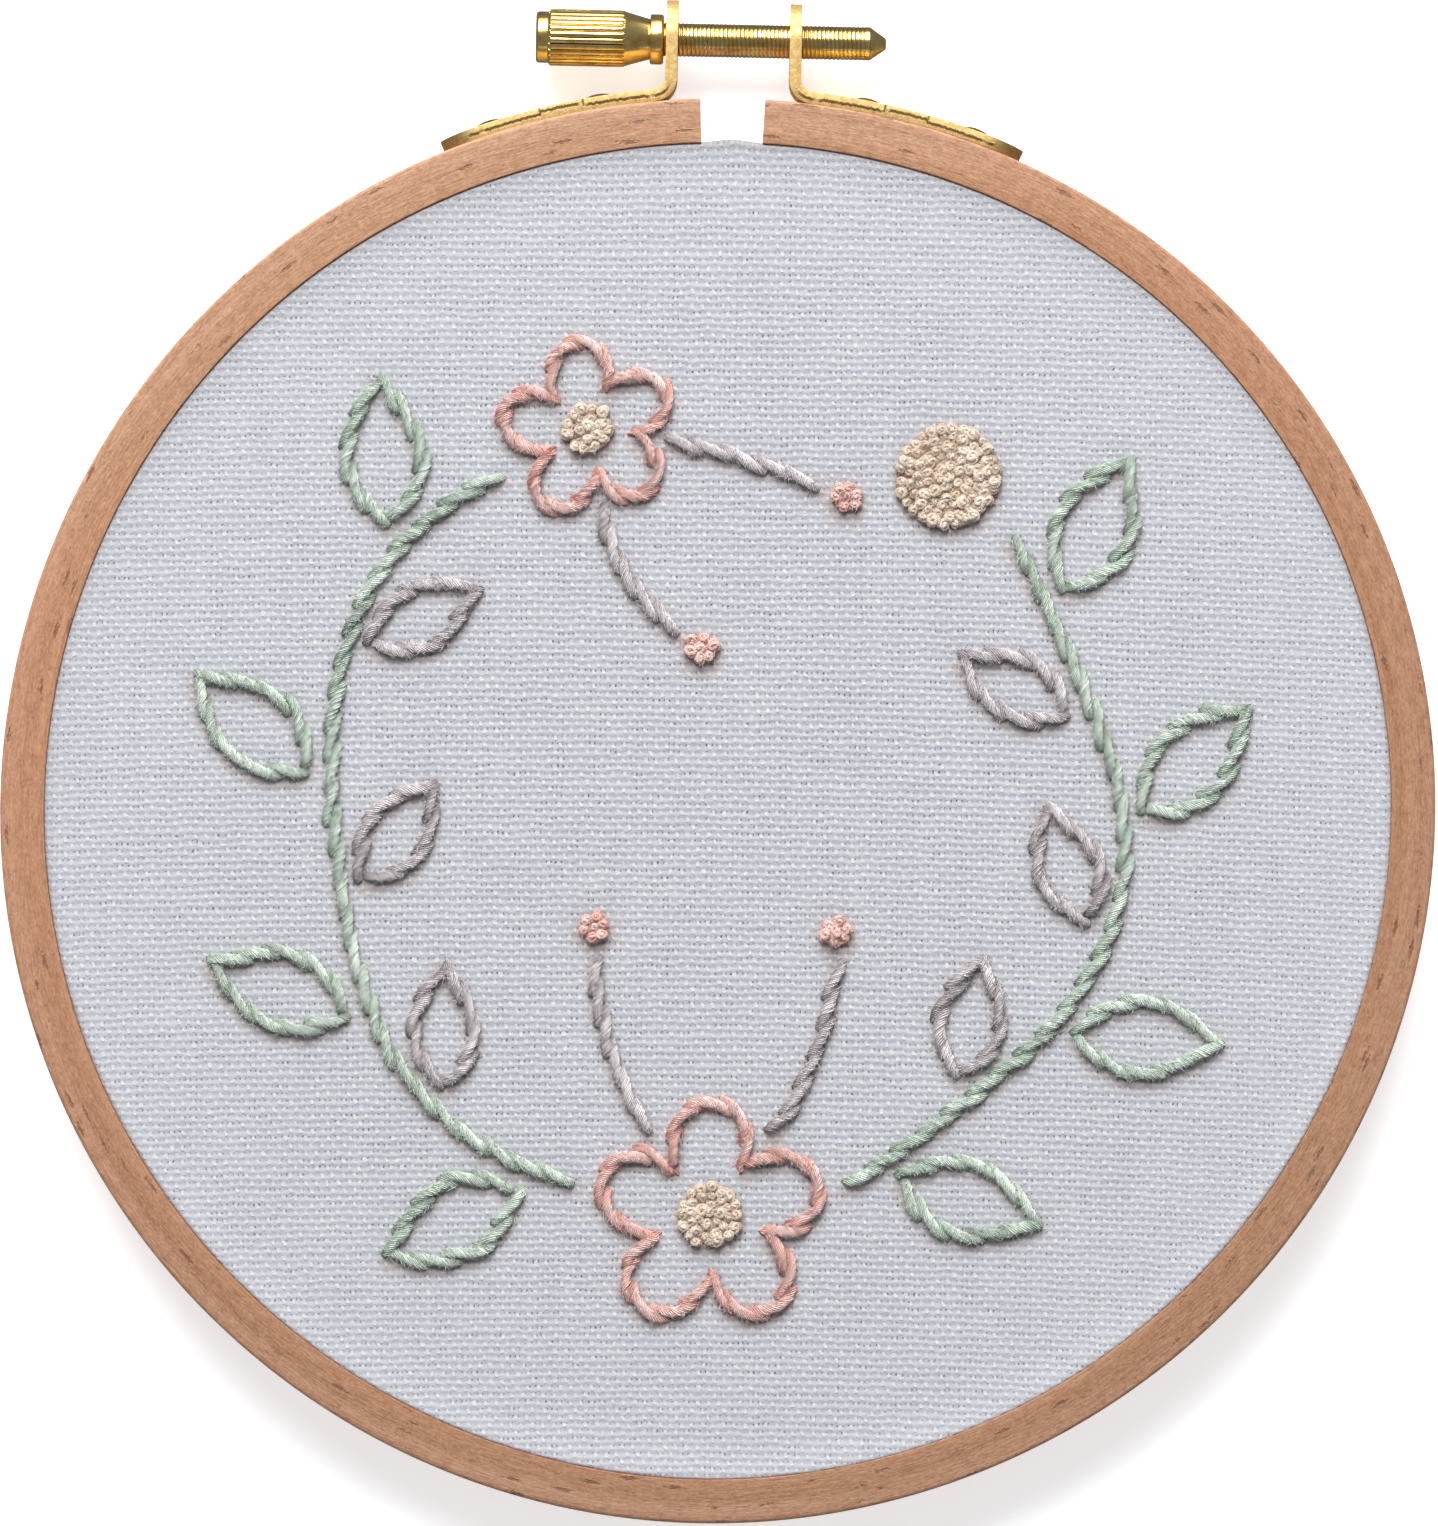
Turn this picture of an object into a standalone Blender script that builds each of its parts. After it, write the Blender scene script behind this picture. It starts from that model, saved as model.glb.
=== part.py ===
"""Hoop embroidery art, lying on its back with the worked face up.

White cloth is held drum-tight between two beech rings. The outer ring is split at the top (+Y),
where two brass angle brackets and a long thumbscrew draw it closed. A wreath of stitched leaves
and flowers is raised on the cloth. +X is to the right of the work, +Z points out of its face.
"""
import bpy
import bmesh
from math import acos, atan2, cos, exp, hypot, pi, radians, sin, sqrt
from mathutils import Vector

MM = 0.001

# Rings. Radii are from the centre of the hoop, heights are from the surface it lies on.
GAP = 0.3 * MM                 # clearance between pieces that touch
RING_STEPS = 96
OUTER_R = 83.7 * MM            # outside of the outer ring, on average
OUTER_WALL = 5.15 * MM
OUTER_DEPTH = 10.0 * MM
EASE = 0.45 * MM               # eased edges of both rings
SPLIT = 7.45 * MM              # opening between the outer ring's ends, midway through its wall
INNER_WALL = 4.5 * MM
OVAL = 0.25 * MM               # the whole hoop is this much longer than round along OVAL_TURN
OVAL_TURN = radians(26)
DRAWN_IN = 0.55 * MM           # the screw pulls the rings this much flatter at the split,
DRAWN_WIDE = radians(28)       # fading out over this angle to either side of it

# Cloth.
CLOTH_T = 1.0 * MM
CLOTH_SUNK = 0.5 * MM          # worked face below the outer ring's front
CLOTH_TURN = 0.7 * MM          # radius where the face turns down over the inner ring
SKIRT_FOOT = 0.8 * MM          # height of the trimmed edge above the back

# Brackets: a strip with round ends, bent once.
STRIP_T = 1.4 * MM
STRIP_W = 8.9 * MM
BEND_INSIDE = 1.4 * MM
EAR_X = 7.25 * MM              # middle of an ear's thickness from the hoop's middle line
STRAP_REACH = 33.9 * MM        # strap's end from the same line
RIVETS = {"in": 15.8 * MM, "out": 28.5 * MM}
RIVET_R = 1.6 * MM
RIVET_HIGH = 0.35 * MM

# Thumbscrew.
SCREW_Y = 90.05 * MM           # axis above the hoop's centre
SHANK_R = 1.97 * MM
RIBS = 27
RIB_DEEP = 0.18 * MM

# Embroidery.
LINE_WIDE = 2.0 * MM
LINE_HIGH = 1.1 * MM
LINE_WAIST = 0.82              # a line's thickness where one stitch gives way to the next
STITCH = 3.7 * MM              # advance of each stitch along its line
WREATH_R = 46.5 * MM
PETALS = 5
PAD_HIGH = 0.5 * MM            # floss between the knots of a filled spot
KNOT_R = 0.9 * MM
BUD_R = 2.0 * MM
BUD_KNOTS = ((0.95 * MM, 3),)

# Worked out from the sizes above.
OUTER_INSIDE = OUTER_R - OUTER_WALL
CLOTH_TOP = OUTER_DEPTH - CLOTH_SUNK
SKIRT_R = OUTER_INSIDE - GAP
INNER_R = SKIRT_R - CLOTH_T - GAP
INNER_TOP = CLOTH_TOP - CLOTH_T - GAP
MID_DEPTH = OUTER_DEPTH / 2
STRAP_R = OUTER_R + GAP + STRIP_T / 2
EAR_TOP = SCREW_Y + STRIP_W / 2
HALF_SPLIT = SPLIT / 2 / (OUTER_R - OUTER_WALL / 2)
LINE_Z = CLOTH_TOP + GAP + LINE_HIGH / 2
LINE_STEP = STITCH / 2              # two points to a stitch, full and waisted by turns

# Colour, roughness and metallic value of each finish.
FINISHES = {
    "beech": ((0.53, 0.28, 0.17), 0.62, 0.0),
    "cotton": ((0.66, 0.68, 0.72), 0.9, 0.0),
    "brass": ((0.72, 0.51, 0.17), 0.28, 1.0),
    "green_thread": ((0.39, 0.53, 0.42), 0.7, 0.0),
    "lilac_thread": ((0.37, 0.33, 0.36), 0.7, 0.0),
    "pink_thread": ((0.74, 0.42, 0.34), 0.7, 0.0),
    "cream_thread": ((0.76, 0.64, 0.48), 0.7, 0.0),
}


def out_of_round(angle):
    """How far the rings and the cloth stand outside their mean circle, at an angle from +X."""
    return OVAL * cos(2 * (angle - OVAL_TURN)) - DRAWN_IN * exp(-((angle - pi / 2) / DRAWN_WIDE) ** 2)


HOOP_Y = (OUTER_R + out_of_round(-pi / 2) - EAR_TOP) / 2   # the origin lies under the object's middle


def clear_scene():
    for obj in list(bpy.data.objects):
        bpy.data.objects.remove(obj, do_unlink=True)


def new_collection(name):
    collection = bpy.data.collections.new(name)
    bpy.context.scene.collection.children.link(collection)
    return collection


def make_finishes():
    finishes = {}
    for name, (colour, roughness, metallic) in FINISHES.items():
        material = bpy.data.materials.new(name)
        material.use_nodes = True
        shader = material.node_tree.nodes["Principled BSDF"]
        shader.inputs["Base Color"].default_value = (*colour, 1.0)
        shader.inputs["Roughness"].default_value = roughness
        shader.inputs["Metallic"].default_value = metallic
        finishes[name] = material
    return finishes


clear_scene()
PARTS = new_collection("hoop_embroidery_art")
FINISH = make_finishes()

CENTRE = bpy.data.objects.new("hoop_centre", None)
CENTRE.location = (0, HOOP_Y, 0)
PARTS.objects.link(CENTRE)


def place(name, data, finish, location=(0, 0, 0), rotation=(0, 0, 0)):
    """Put a mesh or curve in the model, measured from the hoop's centre."""
    obj = bpy.data.objects.new(name, data)
    obj.location = location
    obj.rotation_euler = rotation
    obj.parent = CENTRE
    data.materials.append(FINISH[finish])
    PARTS.objects.link(obj)
    return obj


def turned(name, profile, finish, steps, closed, location=(0, 0, 0), rotation=(0, 0, 0)):
    """Turn a profile of (radius, height) about Z. It runs down its outer side."""
    count = len(profile)
    edges = [(i, (i + 1) % count) for i in range(count if closed else count - 1)]
    mesh = bpy.data.meshes.new(name)
    mesh.from_pydata([(r, 0, z) for r, z in profile], edges, [])
    obj = place(name, mesh, finish, location, rotation)
    screw = obj.modifiers.new("turn", "SCREW")
    screw.axis = "Z"
    screw.angle = 2 * pi
    screw.steps = steps
    screw.render_steps = steps
    screw.use_merge_vertices = True
    screw.merge_threshold = 0.00001
    screw.use_smooth_shade = False
    return obj


def eased_section(inside, outside, bottom, top):
    """A ring's rectangular section with its four edges eased, going round clockwise."""
    return [
        (inside + EASE, top), (outside - EASE, top), (outside, top - EASE), (outside, bottom + EASE),
        (outside - EASE, bottom), (inside + EASE, bottom), (inside, bottom + EASE), (inside, top - EASE),
    ]


def face_out(shape):
    """Point the faces of a closed shape outwards."""
    bmesh.ops.recalc_face_normals(shape, faces=shape.faces)
    if shape.calc_volume(signed=True) < 0:
        bmesh.ops.reverse_faces(shape, faces=shape.faces)


def settle_mesh(obj):
    """Keep an object's mesh as its modifiers leave it."""
    graph = bpy.context.evaluated_depsgraph_get()
    obj.data = bpy.data.meshes.new_from_object(obj.evaluated_get(graph))
    obj.modifiers.clear()


def press_out_of_round(obj):
    """Give a round piece the slightly flattened oval of the whole hoop."""
    for vert in obj.data.vertices:
        angle = atan2(vert.co.y, vert.co.x) % (2 * pi)
        share = min(1, hypot(vert.co.x, vert.co.y) / INNER_R)
        vert.co.x += share * out_of_round(angle) * cos(angle)
        vert.co.y += share * out_of_round(angle) * sin(angle)


def make_outer_hoop():
    """The outer ring: its section swept from one sawn end round to the other."""
    section = eased_section(OUTER_INSIDE, OUTER_R, 0, OUTER_DEPTH)
    first = pi / 2 + HALF_SPLIT
    shape = bmesh.new()
    end = shape.faces.new([shape.verts.new((r * cos(first), r * sin(first), z)) for r, z in section])
    bmesh.ops.spin(shape, geom=[end], cent=(0, 0, 0), axis=(0, 0, 1),
                   angle=2 * (pi - HALF_SPLIT), steps=RING_STEPS)
    face_out(shape)
    mesh = bpy.data.meshes.new("outer_hoop")
    shape.to_mesh(mesh)
    shape.free()
    press_out_of_round(place("outer_hoop", mesh, "beech"))


def make_inner_hoop():
    """The closed inner ring, just lower than the outer one so that the cloth lies flush."""
    section = eased_section(INNER_R - INNER_WALL, INNER_R, 0, INNER_TOP)
    ring = turned("inner_hoop", section, "beech", RING_STEPS, closed=True)
    settle_mesh(ring)
    press_out_of_round(ring)


def make_cloth():
    """One sheet: a flat disc turned down over the inner ring, with its edge left as a skirt."""
    half_turn = CLOTH_TURN * (1 - sin(pi / 4))
    inside = SKIRT_R - CLOTH_T
    under = CLOTH_TOP - CLOTH_T
    profile = [
        (0, CLOTH_TOP),
        (SKIRT_R - CLOTH_TURN, CLOTH_TOP),
        (SKIRT_R - half_turn, CLOTH_TOP - half_turn),
        (SKIRT_R, CLOTH_TOP - CLOTH_TURN),
        (SKIRT_R, SKIRT_FOOT),
        (inside, SKIRT_FOOT),
        (inside, under),
        (0, under),
    ]
    sheet = turned("cloth", profile, "cotton", RING_STEPS, closed=False)
    settle_mesh(sheet)
    press_out_of_round(sheet)


def strap_reach(angle, side):
    """Middle of a strap from the hoop's centre, at an angle above the level on its own side."""
    return STRAP_R + out_of_round(angle if side > 0 else pi - angle)


def bracket_path(side):
    """Follow a bracket's middle surface: down the ear, round the bend, along the ring.

    Returns its length, a function that gives (x, y, heading) at a distance from the ear's top, and
    the distances at which it has to be able to bend. It is measured as if on the right.
    """
    bend_r = BEND_INSIDE + STRIP_T / 2
    bend_x = EAR_X + bend_r
    turn = acos(bend_x / (STRAP_R + bend_r))
    bend_y = (strap_reach(turn, side) + bend_r) * sin(turn)
    ear = EAR_TOP - bend_y
    bend = bend_r * turn
    strap = STRAP_R * (turn - acos(STRAP_REACH / STRAP_R))

    def at(distance):
        if distance <= ear:
            return EAR_X, EAR_TOP - distance, -pi / 2
        if distance <= ear + bend:
            done = (distance - ear) / bend_r
            return bend_x - bend_r * cos(done), bend_y - bend_r * sin(done), done - pi / 2
        angle = turn - (distance - ear - bend) / STRAP_R
        reach = strap_reach(angle, side)
        return reach * cos(angle), reach * sin(angle), angle - pi / 2

    stations = [ear + bend * i / 6 for i in range(7)]
    stations += [ear + bend + strap * i / 9 for i in range(1, 9)]
    return ear + bend + strap, at, stations


def outline_spline(curve, points):
    """A closed outline of straight runs in a 2D curve."""
    spline = curve.splines.new("POLY")
    spline.points.add(len(points) - 1)
    for target, (x, y) in zip(spline.points, points):
        target.co = (x, y, 0, 1)
    spline.use_cyclic_u = True


def circle_points(x, y, radius, start, sweep, count):
    """Points on an arc, with both ends where it isn't a full turn."""
    parts = count if abs(sweep) >= 2 * pi else count - 1
    return [(x + radius * cos(start + sweep * i / parts), y + radius * sin(start + sweep * i / parts))
            for i in range(count)]


def flat_blank(length):
    """The bracket before it is bent: a strip with round ends, drilled for the screw at one end."""
    end_r = STRIP_W / 2
    curve = bpy.data.curves.new("blank", "CURVE")
    curve.dimensions = "2D"
    curve.fill_mode = "BOTH"
    curve.extrude = STRIP_T / 2
    left = circle_points(end_r, 0, end_r, pi / 2, pi, 11)
    right = circle_points(length - end_r, 0, end_r, -pi / 2, pi, 11)
    outline_spline(curve, left + right)
    outline_spline(curve, circle_points(end_r, 0, SHANK_R + GAP, 0, -2 * pi, 20))
    blank = bpy.data.objects.new("blank", curve)
    PARTS.objects.link(blank)
    graph = bpy.context.evaluated_depsgraph_get()
    mesh = bpy.data.meshes.new_from_object(blank.evaluated_get(graph))
    bpy.data.objects.remove(blank, do_unlink=True)
    return mesh


def make_bracket(name, side):
    """Bend the blank; side is 1 to the right of the split and -1 to its left."""
    length, at, stations = bracket_path(side)
    mesh = flat_blank(length)
    mesh.name = name
    shape = bmesh.new()
    shape.from_mesh(mesh)
    bmesh.ops.remove_doubles(shape, verts=shape.verts, dist=0.00001)
    for station in stations:
        geometry = shape.verts[:] + shape.edges[:] + shape.faces[:]
        bmesh.ops.bisect_plane(shape, geom=geometry, dist=0.000001,
                               plane_co=(station, 0, 0), plane_no=(1, 0, 0))
    for vert in shape.verts:
        distance, across, out = vert.co
        x, y, heading = at(distance)
        vert.co = (side * (x - out * sin(heading)), y + out * cos(heading), across)
    face_out(shape)
    shape.to_mesh(mesh)
    shape.free()
    place(name, mesh, "brass", location=(0, 0, MID_DEPTH))


def make_rivets():
    """Low round heads on the straps."""
    cap = [(RIVET_R * sin(pi / 2 * i / 4), RIVET_HIGH * cos(pi / 2 * i / 4)) for i in range(4)]
    cap += [(RIVET_R, 0), (0, 0)]
    for side, word in ((-1, "left"), (1, "right")):
        for place_word, reach in RIVETS.items():
            lean = acos(reach / STRAP_R)
            base = strap_reach(lean, side) + STRIP_T / 2 + GAP
            location = (side * base * cos(lean), base * sin(lean), MID_DEPTH)
            tilt = (-pi / 2, 0, side * (lean - pi / 2))
            turned(f"rivet_{word}_{place_word}", cap, "brass", 16, closed=False,
                   location=location, rotation=tilt)


def make_thumbscrew():
    """Turned from the tip on the right to the end cap on the left, with ribs round the grip."""
    collar_end = -(EAR_X + STRIP_T / 2 + GAP)
    stages = [   # distance along the axis from the split's middle, radius
        (17.84 * MM, 0.0),
        (17.84 * MM, 0.63 * MM),
        (15.86 * MM, SHANK_R),
        (collar_end, SHANK_R),
        (collar_end, 2.75 * MM),
        (collar_end - 0.25 * MM, 2.95 * MM),
        (-9.84 * MM, 2.95 * MM),
        (-9.84 * MM, 2.45 * MM),
        (-12.7 * MM, 3.2 * MM),
        (-12.97 * MM, 3.33 * MM),
        (-21.55 * MM, 3.33 * MM),
        (-21.8 * MM, 3.0 * MM),
        (-23.0 * MM, 3.0 * MM),
        (-23.2 * MM, 2.8 * MM),
        (-23.2 * MM, 0.0),
    ]
    shape = bmesh.new()
    profile = [shape.verts.new((r, 0, along)) for along, r in stages]
    edges = [shape.edges.new(pair) for pair in zip(profile, profile[1:])]
    bmesh.ops.spin(shape, geom=profile + edges, cent=(0, 0, 0), axis=(0, 0, 1), angle=2 * pi,
                   steps=2 * RIBS, use_merge=True, use_normal_flip=False)
    bmesh.ops.remove_doubles(shape, verts=shape.verts, dist=0.00001)
    for vert in shape.verts:
        along = vert.co.z
        turn = round(atan2(vert.co.y, vert.co.x) / (pi / RIBS))
        if -21.6 * MM < along < -12.9 * MM and turn % 2:
            flat = Vector((vert.co.x, vert.co.y, 0))
            vert.co = flat * (1 - RIB_DEEP / flat.length) + Vector((0, 0, along))
    face_out(shape)
    mesh = bpy.data.meshes.new("thumbscrew")
    shape.to_mesh(mesh)
    shape.free()
    place("thumbscrew", mesh, "brass", location=(0, SCREW_Y, MID_DEPTH), rotation=(0, pi / 2, 0))


def stitched_line(name, points, finish, closed):
    """A line of stitches as a flattened cord that lies on the cloth and swells at each stitch."""
    curve = bpy.data.curves.new(name, "CURVE")
    curve.dimensions = "3D"
    curve.twist_mode = "Z_UP"
    curve.bevel_depth = LINE_WIDE / 2
    curve.bevel_resolution = 1
    curve.use_fill_caps = True
    spline = curve.splines.new("POLY")
    spline.points.add(len(points) - 1)
    for number, (target, (x, y)) in enumerate(zip(spline.points, points)):
        target.co = (x, y, 0, 1)
        target.radius = LINE_WAIST if number % 2 else 1
    spline.use_cyclic_u = closed
    line = place(name, curve, finish, location=(0, 0, LINE_Z))
    line.scale.z = LINE_HIGH / LINE_WIDE


def polar(angle_deg, radius):
    return radius * cos(radians(angle_deg)), radius * sin(radians(angle_deg))


def vine_points(start_deg, end_deg, waves):
    """A stem along the wreath's circle, waving gently in and out."""
    count = round(abs(radians(end_deg - start_deg)) * WREATH_R / LINE_STEP)
    points = []
    for i in range(count + 1):
        part = i / count
        radius = WREATH_R + 1.7 * MM * sin(2 * pi * waves * part)
        points.append(polar(start_deg + (end_deg - start_deg) * part, radius))
    return points


def point_on(points, part):
    """The place and heading at a part of the way along a line."""
    index = min(int(part * (len(points) - 1)), len(points) - 2)
    (x0, y0), (x1, y1) = points[index:index + 2]
    rest = part * (len(points) - 1) - index
    return x0 + (x1 - x0) * rest, y0 + (y1 - y0) * rest, atan2(y1 - y0, x1 - x0)


def leaf_points(x, y, heading, length, width):
    """A pointed oval from its foot at (x, y) to its tip and back."""
    half = round(length / LINE_STEP)
    points = []
    for i in range(2 * half):
        part = i / half if i <= half else 2 - i / half
        bulge = width / 2 * sin(pi * part ** 0.85) * (1 if i <= half else -1)
        points.append((x + length * part * cos(heading) - bulge * sin(heading),
                       y + length * part * sin(heading) + bulge * cos(heading)))
    return points


def petal_points(x, y, radius, turn_deg, waist=0.24, swell=0.13):
    """A flower's outline: petals that swell past their narrow notches."""
    per_petal = 2 * round(0.8 * radius / LINE_STEP)
    points = []
    for i in range(PETALS * per_petal):
        angle = 2 * pi * i / (PETALS * per_petal)
        reach = radius * (1 - waist + waist * cos(PETALS * angle))
        spread = angle + swell * sin(PETALS * angle) + radians(turn_deg)
        points.append((x + reach * cos(spread), y + reach * sin(spread)))
    return points


def sprig_points(x, y, start_deg, bend_deg, length):
    """A short stem that bends evenly along its length."""
    count = round(length / LINE_STEP)
    points = [(x, y)]
    for i in range(count):
        heading = radians(start_deg + bend_deg * (i + 0.5) / count)
        x += length / count * cos(heading)
        y += length / count * sin(heading)
        points.append((x, y))
    return points


def knot_ring(radius, count):
    """Places of knots evenly round a ring, or the one in its middle."""
    return [(radius * cos(2 * pi * i / count), radius * sin(2 * pi * i / count)) for i in range(count)]


def knotted_spot(name, x, y, radius, rings, finish):
    """A round spot filled with knots: a turned pad with each knot raised in its face."""
    steps = round(2 * pi * radius / (0.6 * MM))
    rounds = round(radius / (0.45 * MM))
    face = [(radius * i / rounds, PAD_HIGH) for i in range(rounds + 1)]
    spot = turned(name, face + [(radius, 0), (0, 0)], finish, steps, closed=False,
                  location=(x, y, CLOTH_TOP + GAP))
    settle_mesh(spot)
    knots = [knot for reach, count in rings for knot in knot_ring(reach, count)]
    for vert in spot.data.vertices:
        if vert.co.z > 0 and hypot(vert.co.x, vert.co.y) < radius - 0.01 * MM:
            nearest = min(hypot(vert.co.x - kx, vert.co.y - ky) for kx, ky in knots)
            swell = sqrt(max(0, 1 - (nearest / KNOT_R) ** 2))
            vert.co.z += (LINE_HIGH - PAD_HIGH) * swell


LEAF = {   # length, width, lean from the stem and finish of the leaves outside and inside the wreath
    "out": (17.0 * MM, 8.6 * MM, radians(50), "green_thread"),
    "in": (14.0 * MM, 7.0 * MM, radians(42), "lilac_thread"),
}
LEAF_FOOT = 2.8 * MM      # foot of a leaf from the middle of its stem
LEAF_STEPS = {            # place of each leaf along its stem, alternately outside and inside
    "left": (0.06, 0.19, 0.32, 0.46, 0.59, 0.74, 0.87),
    "right": (0.06, 0.20, 0.34, 0.48, 0.62, 0.77, 0.91),
}
VINES = {                 # start and end angle, waves, and the side of the stem that faces outwards
    "left": (250, 124, 1.5, 1),
    "right": (-70, 44, -1.5, -1),
}
FLOWERS = {               # centre, radius, turn of the outline, radius and rings of the knotted middle
    "bottom": ((0, -47.5 * MM), 13.2 * MM, 90, 3.6 * MM, ((0, 1), (2.3 * MM, 7))),
    "top": (polar(110, 47.0 * MM), 10.0 * MM, 100, 3.0 * MM, ((0, 1), (1.9 * MM, 6))),
}
SPRIGS = {                # flower, notch between petals that it springs from, bend and length
    "low_right": ("bottom", 0, 34, 22 * MM),
    "low_left": ("bottom", 1, -34, 22 * MM),
    "high_right": ("top", 4, -14, 19 * MM),
    "high_middle": ("top", 3, 46, 18 * MM),
}
SPRIG_FOOT = 0.9          # foot of a sprig, as a share of its flower's radius
BLOOM = (polar(56.5, 47.3 * MM), 6.0 * MM, ((0, 1), (1.95 * MM, 6), (3.9 * MM, 12)))


def make_embroidery():
    """A wreath: two leafy stems, two open flowers, four budding sprigs and a small filled bloom."""
    for side, (start, end, waves, outwards) in VINES.items():
        vine = vine_points(start, end, waves)
        stitched_line(f"vine_{side}", vine, "green_thread", closed=False)
        for number, part in enumerate(LEAF_STEPS[side]):
            where = "in" if number % 2 else "out"
            length, width, lean, finish = LEAF[where]
            turn = outwards if where == "out" else -outwards
            x, y, heading = point_on(vine, part)
            x -= LEAF_FOOT * turn * sin(heading)
            y += LEAF_FOOT * turn * cos(heading)
            points = leaf_points(x, y, heading + turn * lean, length, width)
            stitched_line(f"leaf_{side}_{number + 1}", points, finish, closed=True)
    for where, ((x, y), radius, turn, middle, rings) in FLOWERS.items():
        stitched_line(f"flower_{where}", petal_points(x, y, radius, turn), "pink_thread", closed=True)
        knotted_spot(f"knots_{where}", x, y, middle, rings, "cream_thread")
    for where, (flower, notch, bend, length) in SPRIGS.items():
        (x, y), radius, turn, _, _ = FLOWERS[flower]
        heading = turn + 360 / PETALS * (notch - 0.5)
        foot_x, foot_y = polar(heading, SPRIG_FOOT * radius)
        points = sprig_points(x + foot_x, y + foot_y, heading, bend, length)
        stitched_line(f"sprig_{where}", points, "lilac_thread", closed=False)
        (x0, y0), (x1, y1) = points[-2:]
        ahead = (BUD_R + LINE_WIDE / 2 + GAP) / hypot(x1 - x0, y1 - y0)
        knotted_spot(f"bud_{where}", x1 + (x1 - x0) * ahead, y1 + (y1 - y0) * ahead, BUD_R, BUD_KNOTS,
                     "pink_thread")
    (x, y), radius, rings = BLOOM
    knotted_spot("bloom", x, y, radius, rings, "cream_thread")


def shade_round():
    """Shade the round faces smooth and keep the corners sharp."""
    for obj in PARTS.objects:
        if obj.type == "MESH":
            settle_mesh(obj)
            obj.data.shade_smooth()
            obj.data.set_sharp_from_angle(angle=radians(35))


make_outer_hoop()
make_inner_hoop()
make_cloth()
make_bracket("bracket_left", -1)
make_bracket("bracket_right", 1)
make_rivets()
make_thumbscrew()
make_embroidery()
shade_round()
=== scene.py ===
"""Looks of the hoop embroidery art: beech rings, stretched cotton, brass fittings and stitches.

Every mesh is worked out in millimetres from the hoop's centre, with +Z towards the viewer, and set
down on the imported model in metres. Each corner of a mesh carries a "lay": three numbers that tell
its finish how the material runs there, such as the distance along the grain or along a thread.
"""
from math import acos, atan2, pi, radians, sqrt, tau

import bmesh
import bpy
import numpy as np
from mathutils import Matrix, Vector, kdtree
from numpy import clip, cos, linspace, sin


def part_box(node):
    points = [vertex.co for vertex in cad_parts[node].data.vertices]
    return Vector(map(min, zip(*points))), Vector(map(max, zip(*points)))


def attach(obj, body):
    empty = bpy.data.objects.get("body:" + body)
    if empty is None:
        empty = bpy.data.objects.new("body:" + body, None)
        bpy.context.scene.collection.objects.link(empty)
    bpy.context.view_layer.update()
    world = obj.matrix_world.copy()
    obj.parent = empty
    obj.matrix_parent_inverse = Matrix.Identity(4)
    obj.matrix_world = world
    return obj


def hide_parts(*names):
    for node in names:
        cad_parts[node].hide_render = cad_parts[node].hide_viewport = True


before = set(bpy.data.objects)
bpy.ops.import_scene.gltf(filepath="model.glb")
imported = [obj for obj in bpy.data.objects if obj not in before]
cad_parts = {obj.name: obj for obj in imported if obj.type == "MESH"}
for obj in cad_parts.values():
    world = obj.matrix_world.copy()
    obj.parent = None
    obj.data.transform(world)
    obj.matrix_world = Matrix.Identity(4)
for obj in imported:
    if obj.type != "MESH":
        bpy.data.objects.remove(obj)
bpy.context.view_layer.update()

# ---- Outer hoop ----
# The outer ring is one strip of beech, steamed, bent round and sawn through at the top. It is
# sanded and left bare: the grain runs round the ring and the four long edges are eased.
MM = 0.001
OUTER_R = 83.7  # outside of the ring, on average
OUTER_DEPTH = 10.0
OUTER_WALL = 5.15
MID_WALL_R = OUTER_R - OUTER_WALL / 2
SPLIT = 7.45  # opening between the sawn ends, midway through the wall
EASE = 0.45  # rounding of the long edges outside
INNER_EASE = 0.15  # and of those inside
OVAL = 0.25  # the whole hoop is this much longer than round along OVAL_TURN
OVAL_TURN = radians(26)
DRAWN_IN = 0.55  # the screw pulls the rings this much flatter at the split,
DRAWN_WIDE = radians(28)  # fading out over this angle to either side of it
RING_STEPS = 720
LIT_TOWARDS = radians(112)  # painted light: the wood is palest at this angle and darkest opposite
random = np.random.default_rng(11)


def out_of_round(angle):
    """How far the rings and the cloth stand outside their mean circle, at an angle from +X."""
    from_split = (angle + pi / 2) % tau - pi
    return OVAL * cos(2 * (angle - OVAL_TURN)) - DRAWN_IN * np.exp(-(from_split / DRAWN_WIDE) ** 2)


ring_low, ring_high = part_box("outer_hoop")
CENTRE = (ring_low + ring_high) / 2
CENTRE.y = ring_low.y + (OUTER_R + out_of_round(-pi / 2)) * MM
CENTRE.z = 0


def wander(count, waves, size):
    """A smooth uneven run of numbers round a closed ring, between about -size and size."""
    turn = linspace(0, tau, count)
    total = np.zeros(count)
    for wave in range(1, waves + 1):
        total += sin(wave * turn + random.uniform(0, tau)) * random.uniform(0.4, 1) / sqrt(wave)
    return size * total / np.abs(total).max()


def around(radius, angle):
    """Places (x, y) at a radius and an angle from +X."""
    return radius * cos(angle), radius * sin(angle)


def vectors(*parts):
    """One array of vectors from an array of numbers for each axis."""
    return np.stack(np.broadcast_arrays(*parts), axis=-1)


def unit(steps):
    """Vectors of length 1 with the same headings."""
    return steps / np.maximum(np.linalg.norm(steps, axis=-1, keepdims=True), 1e-6)


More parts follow.
